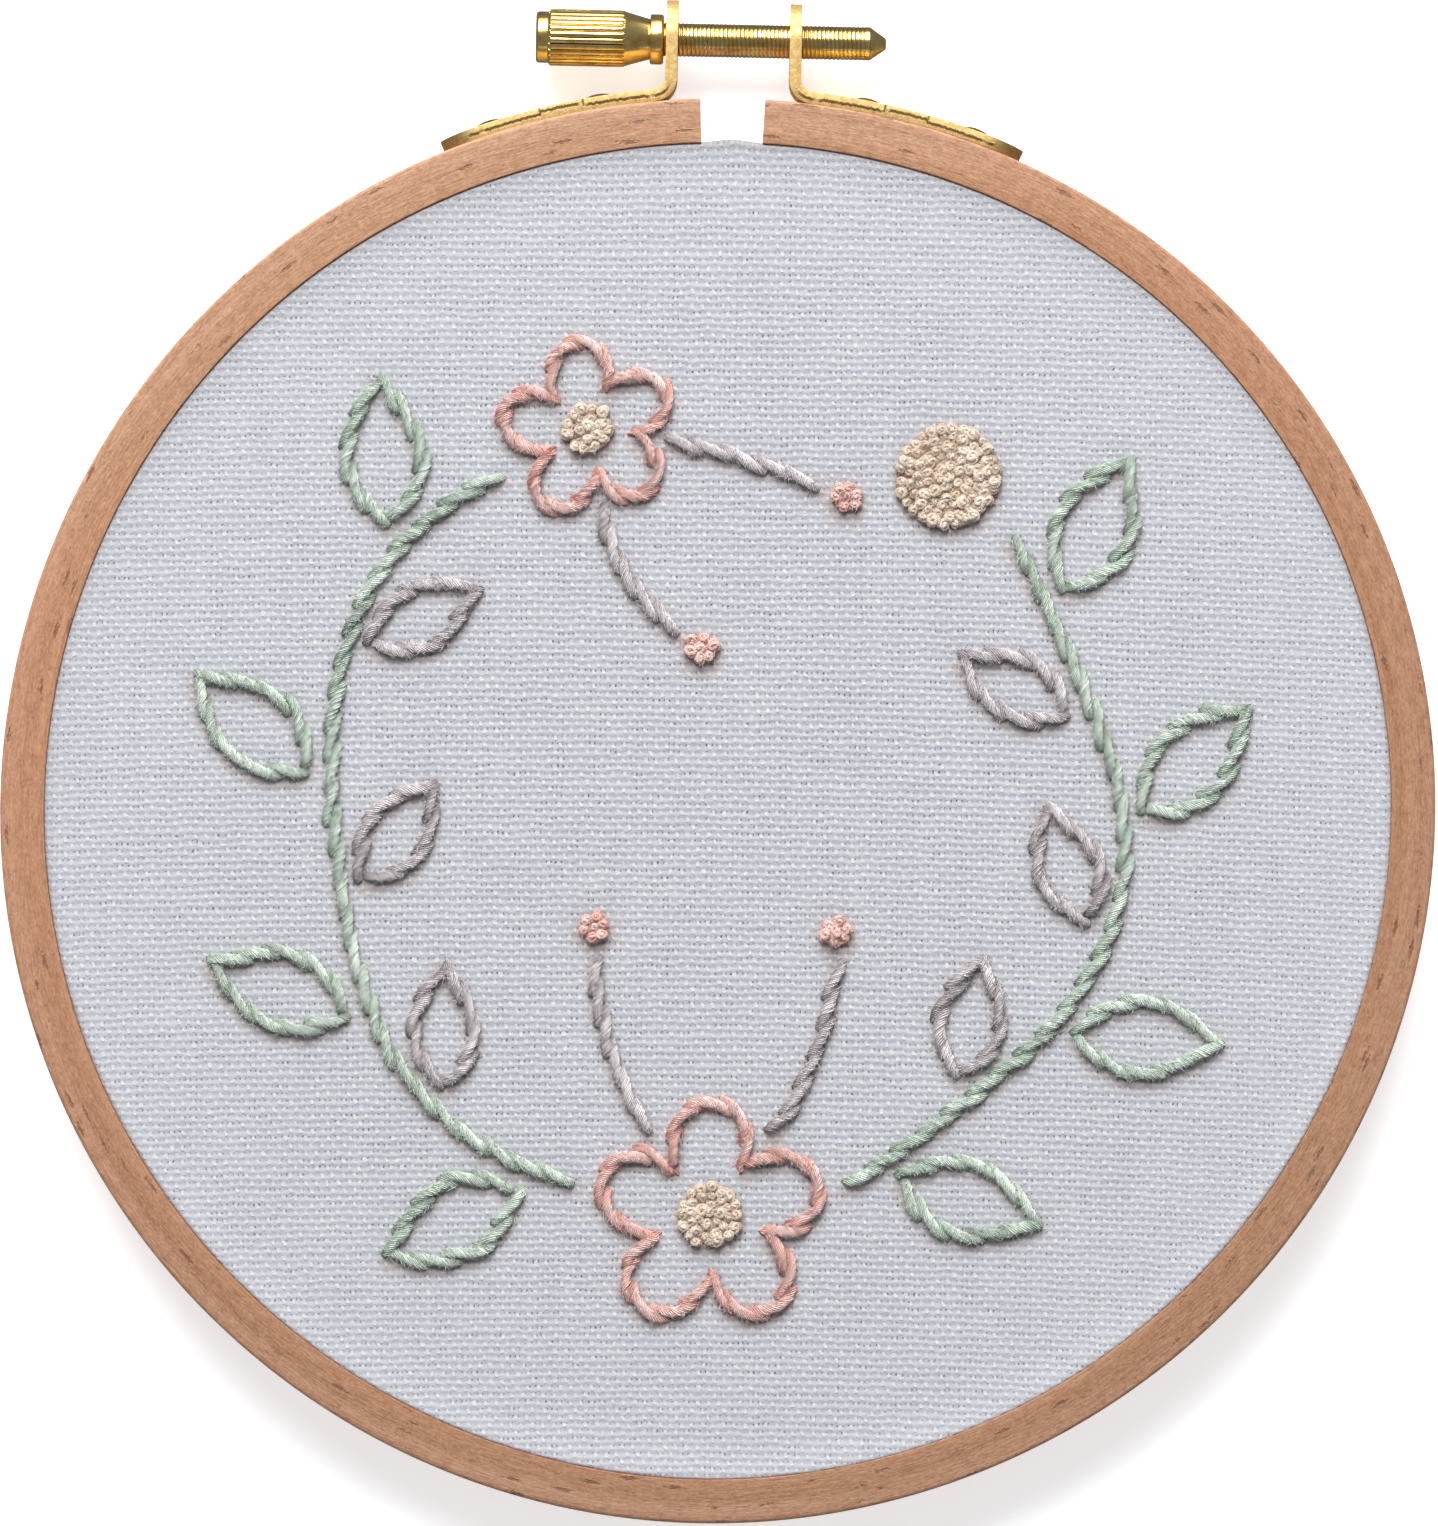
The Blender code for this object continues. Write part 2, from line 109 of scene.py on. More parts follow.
def eased_section(inside, outside, bottom, top):
    """A closed rectangle of (radius, height) with round corners and a few points along each side."""
    arc = linspace(0, pi / 2, 5)
    corners = []
    for x, z, ease, start in ((outside, top, EASE, 0), (inside, top, INNER_EASE, pi / 2),
                              (inside, bottom, INNER_EASE, pi), (outside, bottom, EASE, 1.5 * pi)):
        x += ease if x == inside else -ease
        z += ease if z == bottom else -ease
        corners.append(vectors(x + ease * cos(arc + start), z + ease * sin(arc + start)))
    points = []
    for corner, following in zip(corners, corners[1:] + corners[:1]):
        points += list(corner)
        points += [corner[-1] + (following[0] - corner[-1]) * part for part in (0.25, 0.5, 0.75)]
    return np.array(points + points[:1])


def skin(rings, lay):
    """Faces over closed rings, rings[set, ring, side] or rings[ring, side], with both ends capped.

    The last side of a ring lies on its first one. Each place in lay goes to the corners there.
    """
    if rings.ndim == 3:
        rings, lay = rings[None], lay[None]
    rings = rings[:, :, :-1]
    index = np.arange(rings.size // 3).reshape(rings.shape[:3])
    after = np.roll(index, -1, axis=2)
    quads = np.stack([index[:, :-1], after[:, :-1], after[:, 1:], index[:, 1:]], axis=-1)
    quad_lay = np.stack([lay[:, :-1, :-1], lay[:, :-1, 1:], lay[:, 1:, 1:], lay[:, 1:, :-1]], axis=-2)
    caps = np.concatenate([index[:, 0, ::-1], index[:, -1]])
    cap_lay = np.concatenate([lay[:, 0, -2::-1], lay[:, -1, :-1]])
    a, b, c, d = (rings.reshape(-1, 3)[quads[0].reshape(-1, 4)[:, i]] for i in range(4))
    middle = rings[0].reshape(-1, 3).mean(axis=0)
    facing = np.einsum("ij,ij->", np.cross(c - a, d - b), (a + b + c + d) / 4 - middle)
    way = -1 if facing < 0 else 1
    faces = quads.reshape(-1, 4)[:, ::way].tolist() + caps[:, ::way].tolist()
    corners = [part[:, ::way].reshape(-1, 3) for part in (quad_lay.reshape(-1, 4, 3), cap_lay)]
    return rings.reshape(-1, 3), faces, np.concatenate(corners)


def piece(name, skins, finish, slot, *nodes, body="hoop"):
    """One object from skins, which stands for CAD nodes and rides on a body."""
    vertices, faces, corners, base = [], [], [], 0
    for points, loops, lay in skins:
        vertices.append(points)
        faces += [[base + i for i in face] for face in loops] if base else loops
        corners.append(lay)
        base += len(points)
    mesh = bpy.data.meshes.new(name)
    mesh.from_pydata(np.concatenate(vertices) * MM + np.array(CENTRE), [], faces)
    lay = mesh.attributes.new("lay", "FLOAT_VECTOR", "CORNER")
    lay.data.foreach_set("vector", np.concatenate(corners).astype(np.float32).ravel())
    return settle(name, mesh, finish, slot, *nodes, body=body)


def in_scene(name, data):
    """A new object, linked to the scene."""
    made = bpy.data.objects.new(name, data)
    bpy.context.scene.collection.objects.link(made)
    return made


def settle(name, mesh, finish, slot, *nodes, body="hoop"):
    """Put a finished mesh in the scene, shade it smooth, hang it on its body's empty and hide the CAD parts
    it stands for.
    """
    mesh.materials.append(finish)
    mesh.shade_smooth()
    mesh.set_sharp_from_angle(angle=radians(40))
    made = in_scene(name, mesh)
    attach(made, body)
    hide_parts(*nodes)
    return made


def linear(red, green, blue):
    """A colour as it shows on a screen, 0 to 255, in the renderer's own numbers."""
    return tuple((v / 255 / 12.92 if v < 10.3 else ((v / 255 + 0.055) / 1.055) ** 2.4)
                 for v in (red, green, blue)) + (1.0,)


class Finish:
    """A material made node by node. Each method adds a node and gives its output."""

    def __init__(self, name):
        self.material = bpy.data.materials.new(name)
        self.material.use_nodes = True
        self.nodes = self.material.node_tree.nodes
        self.links = self.material.node_tree.links
        self.shader = self.nodes["Principled BSDF"]

    def put(self, socket, value):
        if isinstance(value, bpy.types.NodeSocket):
            self.links.new(value, socket)
        else:
            socket.default_value = value

    def add(self, kind, inputs, output=0, **settings):
        node = self.nodes.new("ShaderNode" + kind)
        for key, value in settings.items():
            setattr(node, key, value)
        for key, value in inputs.items():
            self.put(node.inputs[key], value)
        return node.outputs[output]

    def lay(self):
        return self.add("Attribute", {}, "Vector", attribute_name="lay")

    def split(self, vector):
        node = self.nodes.new("ShaderNodeSeparateXYZ")
        self.put(node.inputs[0], vector)
        return node.outputs[0], node.outputs[1], node.outputs[2]

    def join(self, x, y, z):
        return self.add("CombineXYZ", {0: x, 1: y, 2: z})

    def stretch(self, vector, by):
        return self.add("VectorMath", {0: vector, 1: by}, operation="MULTIPLY")

    def length(self, vector):
        return self.add("VectorMath", {0: vector}, "Value", operation="LENGTH")

    def math(self, operation, a, b=0.0, c=0.0):
        return self.add("Math", {0: a, 1: b, 2: c}, operation=operation)

    def size(self, a):
        return self.math("ABSOLUTE", a)

    def minus(self, a, b):
        return self.math("SUBTRACT", a, b)

    def times(self, a, b):
        return self.math("MULTIPLY", a, b)

    def weigh(self, a, share, onto):
        """A share of a, added to onto."""
        return self.math("MULTIPLY_ADD", a, share, onto)

    def noise(self, vector, scale, detail=2.0, rough=0.5):
        """Clouds, as many to the mm as scale says, which may differ along each axis."""
        if isinstance(scale, tuple):
            vector, scale = self.stretch(vector, scale), 1.0
        return self.add("TexNoise", {"Vector": vector, "Scale": scale, "Detail": detail,
                                     "Roughness": rough})

    def between(self, value, low, high, to_low=0.0, to_high=1.0):
        return self.add("MapRange", {0: value, 1: low, 2: high, 3: to_low, 4: to_high},
                        interpolation_type="SMOOTHSTEP")

    def blend(self, factor, a, b, how="MIX"):
        return self.add("Mix", {0: factor, 6: a, 7: b}, 2, data_type="RGBA", blend_type=how)

    def ramp(self, value, *stops):
        node = self.nodes.new("ShaderNodeValToRGB")
        self.put(node.inputs[0], value)
        elements = node.color_ramp.elements
        while len(elements) < len(stops):
            elements.new(0.5)
        for element, (place, colour) in zip(elements, stops):
            element.position = place
            element.color = colour
        return node.outputs[0]

    def bump(self, height, depth_mm):
        return self.add("Bump", {"Height": height, "Distance": depth_mm * MM, "Strength": 1.0})

    def finish(self, **sockets):
        """Set the shader's sockets, named with _ for a space."""
        for key, value in sockets.items():
            self.put(self.shader.inputs[key.replace("_", " ")], value)
        return self.material


def beech(name, pale, dark, pore):
    """Bare beech. Its lay is the distance round the ring, the radius and the height, in mm."""
    wood = Finish(name)
    lay = wood.lay()
    travel, reach, _ = wood.split(lay)
    bands = wood.noise(lay, (0.012, 0.55, 0.4), detail=3.0)
    streaks = wood.noise(lay, (0.36, 3.2, 3.2), detail=4.0, rough=0.7)
    mottle = wood.noise(lay, (0.7, 0.9, 0.9), detail=4.0, rough=0.7)
    speckle = wood.noise(lay, (1.8, 4.0, 4.0), rough=0.7)
    tone = wood.weigh(bands, 0.35, wood.times(streaks, 0.45))
    tone = wood.weigh(mottle, 0.40, tone)
    tone = wood.weigh(speckle, 0.50, tone)
    colour = wood.ramp(tone, (0.67, dark), (1.0, pale))
    # The flecks are the cut ends of the wood's rays, long along the grain.
    cells = wood.stretch(lay, (0.15, 0.75, 0.75))
    cells = wood.add("TexVoronoi", {"Vector": cells, "Scale": 1.0}, "Distance")
    cells = wood.weigh(wood.minus(speckle, 0.5), 0.45, cells)
    fleck = wood.between(cells, 0.08, 0.21, 1.0, 0.0)
    colour = wood.blend(wood.times(fleck, 0.55), colour, pore)
    # The wood is a little darker and warmer towards the cloth.
    across = wood.between(reach, OUTER_R - 5.0, OUTER_R - 1.4)
    warmer = wood.ramp(across, (0.0, (0.96, 0.92, 0.86, 1)), (1.0, (1, 1, 1, 1)))
    colour = wood.blend(1.0, colour, warmer, "MULTIPLY")
    # Painted light and shade: the wood is painted paler on the side of the ring towards the lamps and
    # darker on the far side.
    painted_falloff = wood.math("COSINE", wood.minus(wood.math("DIVIDE", travel, MID_WALL_R), LIT_TOWARDS))
    painted_falloff = wood.ramp(wood.between(painted_falloff, -1.0, 1.0),
                      (0.0, (0.74, 0.75, 0.75, 1)), (0.6, (0.82, 0.80, 0.79, 1)),
                      (0.9, (0.89, 0.87, 0.85, 1)), (1.0, (0.94, 0.99, 1.0, 1)))
    colour = wood.blend(1.0, colour, painted_falloff, "MULTIPLY")
    height = wood.weigh(fleck, -0.6, streaks)
    roughness = wood.between(streaks, 0.3, 0.7, 0.66, 0.52)
    return wood.finish(Base_Color=colour, Roughness=roughness, Specular_IOR_Level=0.3,
                       Normal=wood.bump(height, 0.09))


def bent_ring(section, first, last, out_of_true, faces_up):
    """A section swept round from angle first to angle last, which may differ for each of its points."""
    part = linspace(0, 1, RING_STEPS + 1)[:, None]
    radius, height = section.T
    angle = first + (last - first) * part
    reach = radius + out_of_true[:, None] + out_of_round(angle)
    lift = height + faces_up[:, None] * (height / OUTER_DEPTH)
    return skin(vectors(*around(reach, angle), lift), vectors(angle * MID_WALL_R, radius, height))


BEECH = beech("beech", linear(219, 168, 135), linear(167, 117, 86), linear(104, 66, 44))
section = eased_section(OUTER_R - OUTER_WALL, OUTER_R, 0, OUTER_DEPTH)
half_split = SPLIT / 2 / MID_WALL_R
outer_ring = bent_ring(section, pi / 2 + half_split, 2.5 * pi - half_split,
                       wander(RING_STEPS + 1, 7, 0.09), wander(RING_STEPS + 1, 9, 0.05))
piece("outer_ring", [outer_ring], BEECH, "beech", "outer_hoop")

# ---- Inner hoop ----
# The inner ring is a thinner strip of the same wood. Its ends are planed to long tapers and glued
# over each other, so it is closed, and the cloth is stretched over it.
INNER_R = 76.95
INNER_TOP = 8.2
INNER_WALL = 4.5
SCARF = 16.0  # length of the glued taper
SCARF_AT = radians(200)  # where it starts, round from the right
GLUE_LINE = 0.06
INNER_BEECH = beech("inner_beech", linear(216, 168, 132), linear(166, 118, 86), linear(108, 70, 48))
section = eased_section(INNER_R - INNER_WALL, INNER_R, 0, INNER_TOP)
taper = (section[:, 0] - INNER_R + INNER_WALL) / INNER_WALL
joint = SCARF_AT + (taper * SCARF + GLUE_LINE) / INNER_R
inner_ring = bent_ring(section, joint, joint + tau - 2 * GLUE_LINE / INNER_R,
                       wander(RING_STEPS + 1, 5, 0.04), wander(RING_STEPS + 1, 7, 0.04))
piece("inner_ring", [inner_ring], INNER_BEECH, "beech", "inner_hoop")

# ---- Cloth ----
# One round of plain-weave white cotton, drum-tight over the inner ring. Its edge turns down between
# the two rings, which pinch it, and is trimmed just above the back.
CLOTH_R = 78.62
CLOTH_TOP = 9.5
CLOTH_THICK = 0.9
CLOTH_TURN = 0.45  # rounding where the face turns down
RIM_HIGH = 0.35  # the pinched cloth stands up this much at its rim,
RIM_WIDE = 6  # rising to it over this distance
SEAM_SHADE_WIDE = 0.9  # painted shade darkens the cloth this far in from the outer ring
CLOTH_FOOT = 0.8  # trimmed edge above the back
SHOULDER = CLOTH_TOP - CLOTH_TURN
DROP = SHOULDER - CLOTH_FOOT
AROUND = 400
FACE_STEP = 0.8  # from one ring of points to the next
GAP_BULGE = 0.36  # how far the cloth is pushed out between the ring's sawn ends
WARP_PITCH = 0.626  # from one upright thread to the next
WEFT_PITCH = 0.864  # from one level thread to the next


def cloth_profile():
    """(radius, height, distance from the middle along the cloth) over the face and back under it."""
    edge = CLOTH_R - CLOTH_TURN
    reach = np.arange(0.4, edge, FACE_STEP)
    points = [(r, CLOTH_TOP, r) for r in reach]
    for bend in linspace(0, pi / 2, 6):
        points.append((edge + CLOTH_TURN * sin(bend), CLOTH_TOP - CLOTH_TURN * (1 - cos(bend)),
                       edge + CLOTH_TURN * bend))
    turned = points[-1][2]
    for part in linspace(0.125, 1, 8):
        points.append((CLOTH_R, SHOULDER - DROP * part, turned + DROP * part))
    inside, under = CLOTH_R - CLOTH_THICK, CLOTH_TOP - CLOTH_THICK
    for part in linspace(0, 1, 7):
        points.append((inside, CLOTH_FOOT + (under - CLOTH_FOOT) * part, turned + DROP * (1 - part)))
    points += [(r, under, r) for r in reach[reach < inside - 0.3][::-3]]
    return np.array(points)


profile = cloth_profile()
angle = linspace(0, tau, AROUND + 1)
near_gap = 0.5 + 0.5 * cos(pi * clip((angle - pi / 2) / (1.05 * half_split), -1, 1))
reach, height, spread = (column[:, None] for column in profile.T)
on_edge = clip((reach - (CLOTH_R - RIM_WIDE)) / RIM_WIDE, 0, 1) ** 3
hang = clip((SHOULDER - height) / DROP, 0, 1)
trim = wander(AROUND + 1, 17, 0.35)
ripple = wander(AROUND + 1, 60, 0.12)
pressed = clip(reach / CLOTH_R, 0, 1) * out_of_round(angle)
r = reach + pressed + on_edge * GAP_BULGE * near_gap + hang * np.minimum(ripple - 0.1, 0)
z = height + hang ** 3 * trim * (reach > CLOTH_R - 2) + RIM_HIGH * on_edge * (1 - hang)
# The lay follows the threads: they bow a little, most of all below the split.
x, y = around(spread, angle)
rows = y - 1.1 * np.exp(-((x / 21) ** 2 + ((y - 82) / 15) ** 2)) + 0.00026 * (x - 15) ** 2
columns = x + 0.8 * sin(y / 46) + 0.3 * sin(x / 31)
# The lay's third number is the painted shade in the seam next to the outer ring.
seam_shade = clip((reach - CLOTH_R + SEAM_SHADE_WIDE) / SEAM_SHADE_WIDE, 0, 1) ** 1.5
cloth_skin = skin(vectors(*around(r, angle), z), vectors(columns, rows, seam_shade))

weave = Finish("cotton")
x, y, seam_shade = weave.split(weave.lay())
flat = weave.join(x, y, 0.0)
# Uneven spacing, then the crowns of the threads and the slits of shade between them.
y = weave.weigh(weave.noise(flat, (0.35, 0.35, 1.0), detail=3.0), 0.7, y)
y = weave.weigh(weave.noise(flat, (0.9, 0.6, 1.0), rough=0.6), 0.34, y)
x = weave.weigh(weave.noise(flat, (0.5, 0.3, 1.0), detail=3.0), 0.9, x)
row = weave.times(y, tau / WEFT_PITCH)
across = weave.weigh(weave.math("SINE", row), 0.18, weave.times(x, pi / WARP_PITCH))
over = weave.times(weave.math("COSINE", across), weave.math("COSINE", weave.times(y, pi / WEFT_PITCH)))
weft = weave.math("COSINE", weave.math("ADD", row, 0.75))
knop = weave.noise(flat, (1.1, 1.1, 1.0), rough=0.6)
dots = weave.times(weave.between(over, 0.10, 0.92), weave.between(knop, 0.30, 0.68, 0.42, 1.06))
slit = weave.between(weave.size(weave.math("SINE", across)), 0.84, 1.0)
below = weave.math("COSINE", weave.math("ADD", row, -1.70))
slit = weave.times(slit, weave.between(below, -0.05, 0.9))
loose = weave.noise(flat, (0.45, 0.9, 1.0), detail=3.0, rough=0.7)
slit = weave.times(slit, weave.between(loose, 0.42, 0.72, 0.10, 1.0))
slub = weave.noise(flat, (0.10, 1.0 / WEFT_PITCH, 1.0), detail=3.0)
stripe = weave.noise(flat, (0.8 / WARP_PITCH, 0.06, 1.0))
fibre = weave.noise(flat, (3.2, 4.4, 1.0), detail=3.0, rough=0.7)
height = weave.weigh(dots, 0.50, weave.times(weft, 0.07))
height = weave.weigh(slit, -0.6, height)
height = weave.weigh(fibre, 0.35, height)
# The tone is painted light and shade: the crowns are painted highlights, each weft is painted paler on one
# side and darker on the other, and the slits are painted shade, mostly below the crowns.
tone = weave.weigh(dots, 0.19, weave.weigh(weft, 0.09, 0.408))
tone = weave.weigh(slit, -0.32, tone)
for cloud, share in ((slub, 0.16), (stripe, 0.10), (fibre, 0.36)):
    tone = weave.weigh(weave.minus(cloud, 0.5), share, tone)
colour = weave.ramp(tone, (0.0, linear(101, 101, 109)), (0.28, linear(171, 173, 181)),
                    (0.52, linear(207, 207, 211)), (0.85, linear(245, 244, 243)))
# Painted shade in the seam, where the cloth turns down beside the outer ring.
colour = weave.blend(weave.times(seam_shade, 0.75), colour, linear(120, 96, 84))
rim = weave.between(weave.length(flat), 50.0, 76.0, 0.0, 0.2)
colour = weave.blend(rim, colour, linear(205, 206, 212))
# Painted warm shadow on the cloth just below the threads.
painted_shadow = weave.add("Attribute", {}, "Fac", attribute_name="painted_shadow")
colour = weave.blend(weave.times(painted_shadow, 0.6), colour, linear(216, 190, 172), "MULTIPLY")
COTTON = weave.finish(Base_Color=colour, Roughness=0.85, Sheen_Weight=0.1, Sheen_Roughness=0.5,
                      Specular_IOR_Level=0.15, Normal=weave.bump(height, 0.12))
cloth = piece("stretched_cloth", [cloth_skin], COTTON, "cotton", "cloth")

# ---- Brackets ----
# Two strips of thick sheet brass with round ends, each bent once: one leg follows the outer ring
# and the other stands up as an ear, drilled for the screw. The cut edges are left as sheared.
STRIP_T = 1.4
STRIP_W = 8.9
BEND_INSIDE = 1.4
EAR_X = 7.25  # middle of an ear's thickness from the middle of the split
STRAP_REACH = 33.9
SCREW_Y = 90.05  # screw's axis above the hoop's centre
SCREW_HOLE = 2.27
SHEAR_ROUND = 0.28  # rounding of the strip's edges
STRAP_R = OUTER_R + 0.06 + STRIP_T / 2
EAR_ABOVE = {-1: 0.2, 1: 0.0}  # middle of an ear's round end above the screw, left and right
MID_DEPTH = OUTER_DEPTH / 2


def on_side(angle, side):
    """An angle above the level on the right, or its mirror image where side is -1."""
    return angle if side > 0 else pi - angle


def strap_reach(angle, side):
    """Middle of a strap from the hoop's centre, at an angle above the level on its own side."""
    return STRAP_R + out_of_round(on_side(angle, side))


def bent_strip(distance, side):
    """Place and heading of the strip's middle at a distance from the top of the ear, as if on the right."""
    ear_top = SCREW_Y + EAR_ABOVE[side] + STRIP_W / 2
    bend_r = BEND_INSIDE + STRIP_T / 2
    bend_x = EAR_X + bend_r
    turn = acos(bend_x / (STRAP_R + bend_r))
    bend_y = (strap_reach(turn, side) + bend_r) * sin(turn)
    ear = ear_top - bend_y
    bend = bend_r * turn
    if distance <= ear:
        return EAR_X, ear_top - distance, -pi / 2
    if distance <= ear + bend:
        done = (distance - ear) / bend_r
        return bend_x - bend_r * cos(done), bend_y - bend_r * sin(done), done - pi / 2
    angle = turn - (distance - ear - bend) / STRAP_R
    reach = strap_reach(angle, side)
    return *around(reach, angle), angle - pi / 2


def strip_length(side):
    """Length of the flat strip: it ends where the bent one has reached STRAP_REACH."""
    low, high = 0.0, 2 * STRAP_REACH
    for _ in range(40):
        middle = (low + high) / 2
        low, high = (middle, high) if bent_strip(middle, side)[0] < STRAP_REACH else (low, middle)
    return low


def round_run(x, radius, start, sweep, count):
    """Points along an arc, or round a circle without its last point."""
    turn = start + sweep * linspace(0, 1, count, endpoint=abs(sweep) < tau)
    return list(vectors(*around(radius, turn)) + (x, 0))


def flat_strip(length, hole_at):
    """The strip before it is bent, drilled at a distance from its end, its edges rounded."""
    curve = bpy.data.curves.new("strip", "CURVE")
    curve.dimensions = "2D"
    curve.fill_mode = "BOTH"
    curve.extrude = STRIP_T / 2
    end_r = STRIP_W / 2
    outline = round_run(end_r, end_r, pi / 2, pi, 33) + round_run(length - end_r, end_r, -pi / 2, pi, 33)
    for points in (outline, round_run(hole_at, SCREW_HOLE, 0, -tau, 36)):
        spline = curve.splines.new("POLY")
        spline.points.add(len(points) - 1)
        for target, (across, up) in zip(spline.points, points):
            target.co = (across, up, 0, 1)
        spline.use_cyclic_u = True
    blank = in_scene("strip", curve)
    graph = bpy.context.evaluated_depsgraph_get()
    mesh = bpy.data.meshes.new_from_object(blank.evaluated_get(graph))
    bpy.data.objects.remove(blank, do_unlink=True)
    shape = bmesh.new()
    shape.from_mesh(mesh)
    bmesh.ops.remove_doubles(shape, verts=shape.verts, dist=0.001)
    bmesh.ops.recalc_face_normals(shape, faces=shape.faces)
    rims = [edge for edge in shape.edges if len(edge.link_faces) == 2 and edge.calc_face_angle() > 1]
    bmesh.ops.bevel(shape, geom=rims, offset=SHEAR_ROUND, offset_type="OFFSET", segments=3,
                    profile=0.5, affect="EDGES", clamp_overlap=True)
    for station in np.arange(0.5, length, 0.5):
        bmesh.ops.bisect_plane(shape, geom=shape.verts[:] + shape.edges[:] + shape.faces[:],
                               dist=0.0001, plane_co=(station, 0, 0), plane_no=(1, 0, 0))
    return shape, mesh


def bracket(side, word):
    """Bend a strip; side is 1 to the right of the split and -1 to its left."""
    shape, mesh = flat_strip(strip_length(side), STRIP_W / 2 + EAR_ABOVE[side])
    lay = shape.verts.layers.float_vector.new("lay")
    for vert in shape.verts:
        distance, across, out = vert.co
        x, y, heading = bent_strip(distance, side)
        vert[lay] = (distance, across, out)
        vert.co = (side * (x - out * sin(heading)), y + out * cos(heading), across + MID_DEPTH)
        vert.co = vert.co * MM + CENTRE
    bmesh.ops.recalc_face_normals(shape, faces=shape.faces)
    shape.to_mesh(mesh)
    shape.free()
    return settle(f"brass_bracket_{word}", mesh, SHEET_BRASS, "brass", f"bracket_{word}")


STRAP_TIP = strip_length(1)  # distance of the strap's tip from the top of the ear
STEP_BACK = 14.4  # the sheared edge steps outwards this far before the tip,
STEP_HALF = 2.6  # over twice this length
SEAM_FROM = 9.4  # the ears are sheared cleanly, down to this distance
sheet = Finish("sheet_brass")
lay = sheet.lay()
distance, across, out = sheet.split(lay)
# A ragged dark seam runs along the sheared edges, with a tick at either end of the step.
along = sheet.join(distance, 0.0, 0.0)
ragged = sheet.noise(along, 1.4, detail=5.0, rough=0.75)
seam = sheet.weigh(ragged, 0.9, sheet.minus(out, 0.35))
from_step = sheet.size(sheet.minus(distance, STRAP_TIP - STEP_BACK))
seam = sheet.weigh(sheet.between(from_step, STEP_HALF - 0.1, STEP_HALF, 1.0, 0.0), -0.3, seam)
tick = sheet.between(sheet.size(sheet.minus(from_step, STEP_HALF)), 0.05, 0.15, 0.8, 0.0)
tick = sheet.times(tick, sheet.between(out, -0.25, -0.1))
cut_edge = sheet.between(sheet.size(across), STRIP_W / 2 - 0.2, STRIP_W / 2 - 0.05)
dark_line = sheet.times(sheet.between(sheet.size(seam), 0.08, 0.24, 1.0, 0.0), cut_edge)
dark_line = sheet.times(dark_line, sheet.between(sheet.noise(along, 0.5), 0.32, 0.46))
dark_line = sheet.times(dark_line, sheet.between(distance, SEAM_FROM, SEAM_FROM + 2.0))
dark_line = sheet.math("MAXIMUM", dark_line, sheet.times(tick, cut_edge))
tarnish = sheet.noise(lay, 1.6, detail=5.0, rough=0.75)
colour = sheet.ramp(tarnish, (0.34, linear(206, 164, 94)), (0.66, linear(248, 220, 156)))
colour = sheet.blend(sheet.times(dark_line, 0.85), colour, linear(84, 62, 30))
# Painted dark reflection: the strap is painted darker towards its tip, where its rounded end turns away
# from the lights.
dark_tip_reflection = sheet.between(distance, STRAP_TIP - 5.0, STRAP_TIP - 1.0, 0.0, 0.55)
colour = sheet.blend(dark_tip_reflection, colour, linear(120, 88, 44))
grainy = sheet.noise(lay, (6.0, 6.0, 6.0))
height = sheet.weigh(dark_line, -1.0, sheet.times(grainy, 0.4))
roughness = sheet.between(tarnish, 0.3, 0.75, 0.64, 0.52)
SHEET_BRASS = sheet.finish(Base_Color=colour, Metallic=0.88, Roughness=roughness,
                           Normal=sheet.bump(height, 0.06))
bracket(-1, "left")
bracket(1, "right")

# ---- Rivets ----
# Two brass rivets hold each strap to the wood. Only their low domed heads show, on the strap.
# They are of the same turned brass as the thumbscrew, a little shinier than the straps.
RIVET_REACH = {"in": 15.8, "out": 28.5}
RIVET_R = 1.6
RIVET_HIGH = 0.62  # head above the strap, its foot sunk a little into it
RIVET_FOOT = 0.1


def swung(x, y, angle):
    """Places, or steps, turned round the origin."""
    return x * cos(angle) - y * sin(angle), x * sin(angle) + y * cos(angle)


def rivet(side, reach, name, node):
    """A domed head at a distance from the middle of the split, standing square to the strap."""
    lean = acos(reach / STRAP_R)
    base = strap_reach(lean, side) + STRIP_T / 2 - RIVET_FOOT
    bend = linspace(0, pi / 2, 9)
    radius = np.concatenate([[RIVET_R], RIVET_R * cos(bend) * 0.999 + 0.001])[:, None]
    height = np.concatenate([[0], RIVET_FOOT + (RIVET_HIGH - RIVET_FOOT) * sin(bend)])[:, None]
    turn = linspace(0, tau, 41)
    along, up = around(radius, turn)
    x, y = swung(base + height, along, on_side(lean, side))
    head = skin(vectors(x, y, MID_DEPTH + up), vectors(height, along, up))
    piece(name, [head], TURNED_BRASS, "brass", node)


GRIP_R = 3.33  # the thumbscrew's grip, outside its ribs
RIB_DEEP = 0.26
GRIP_FROM, GRIP_TO = -21.55, -12.97
SHANK_R = 1.97
THREAD_DEEP = 0.07
bar = Finish("turned_brass")
lay = bar.lay()
along, across, up = bar.split(lay)
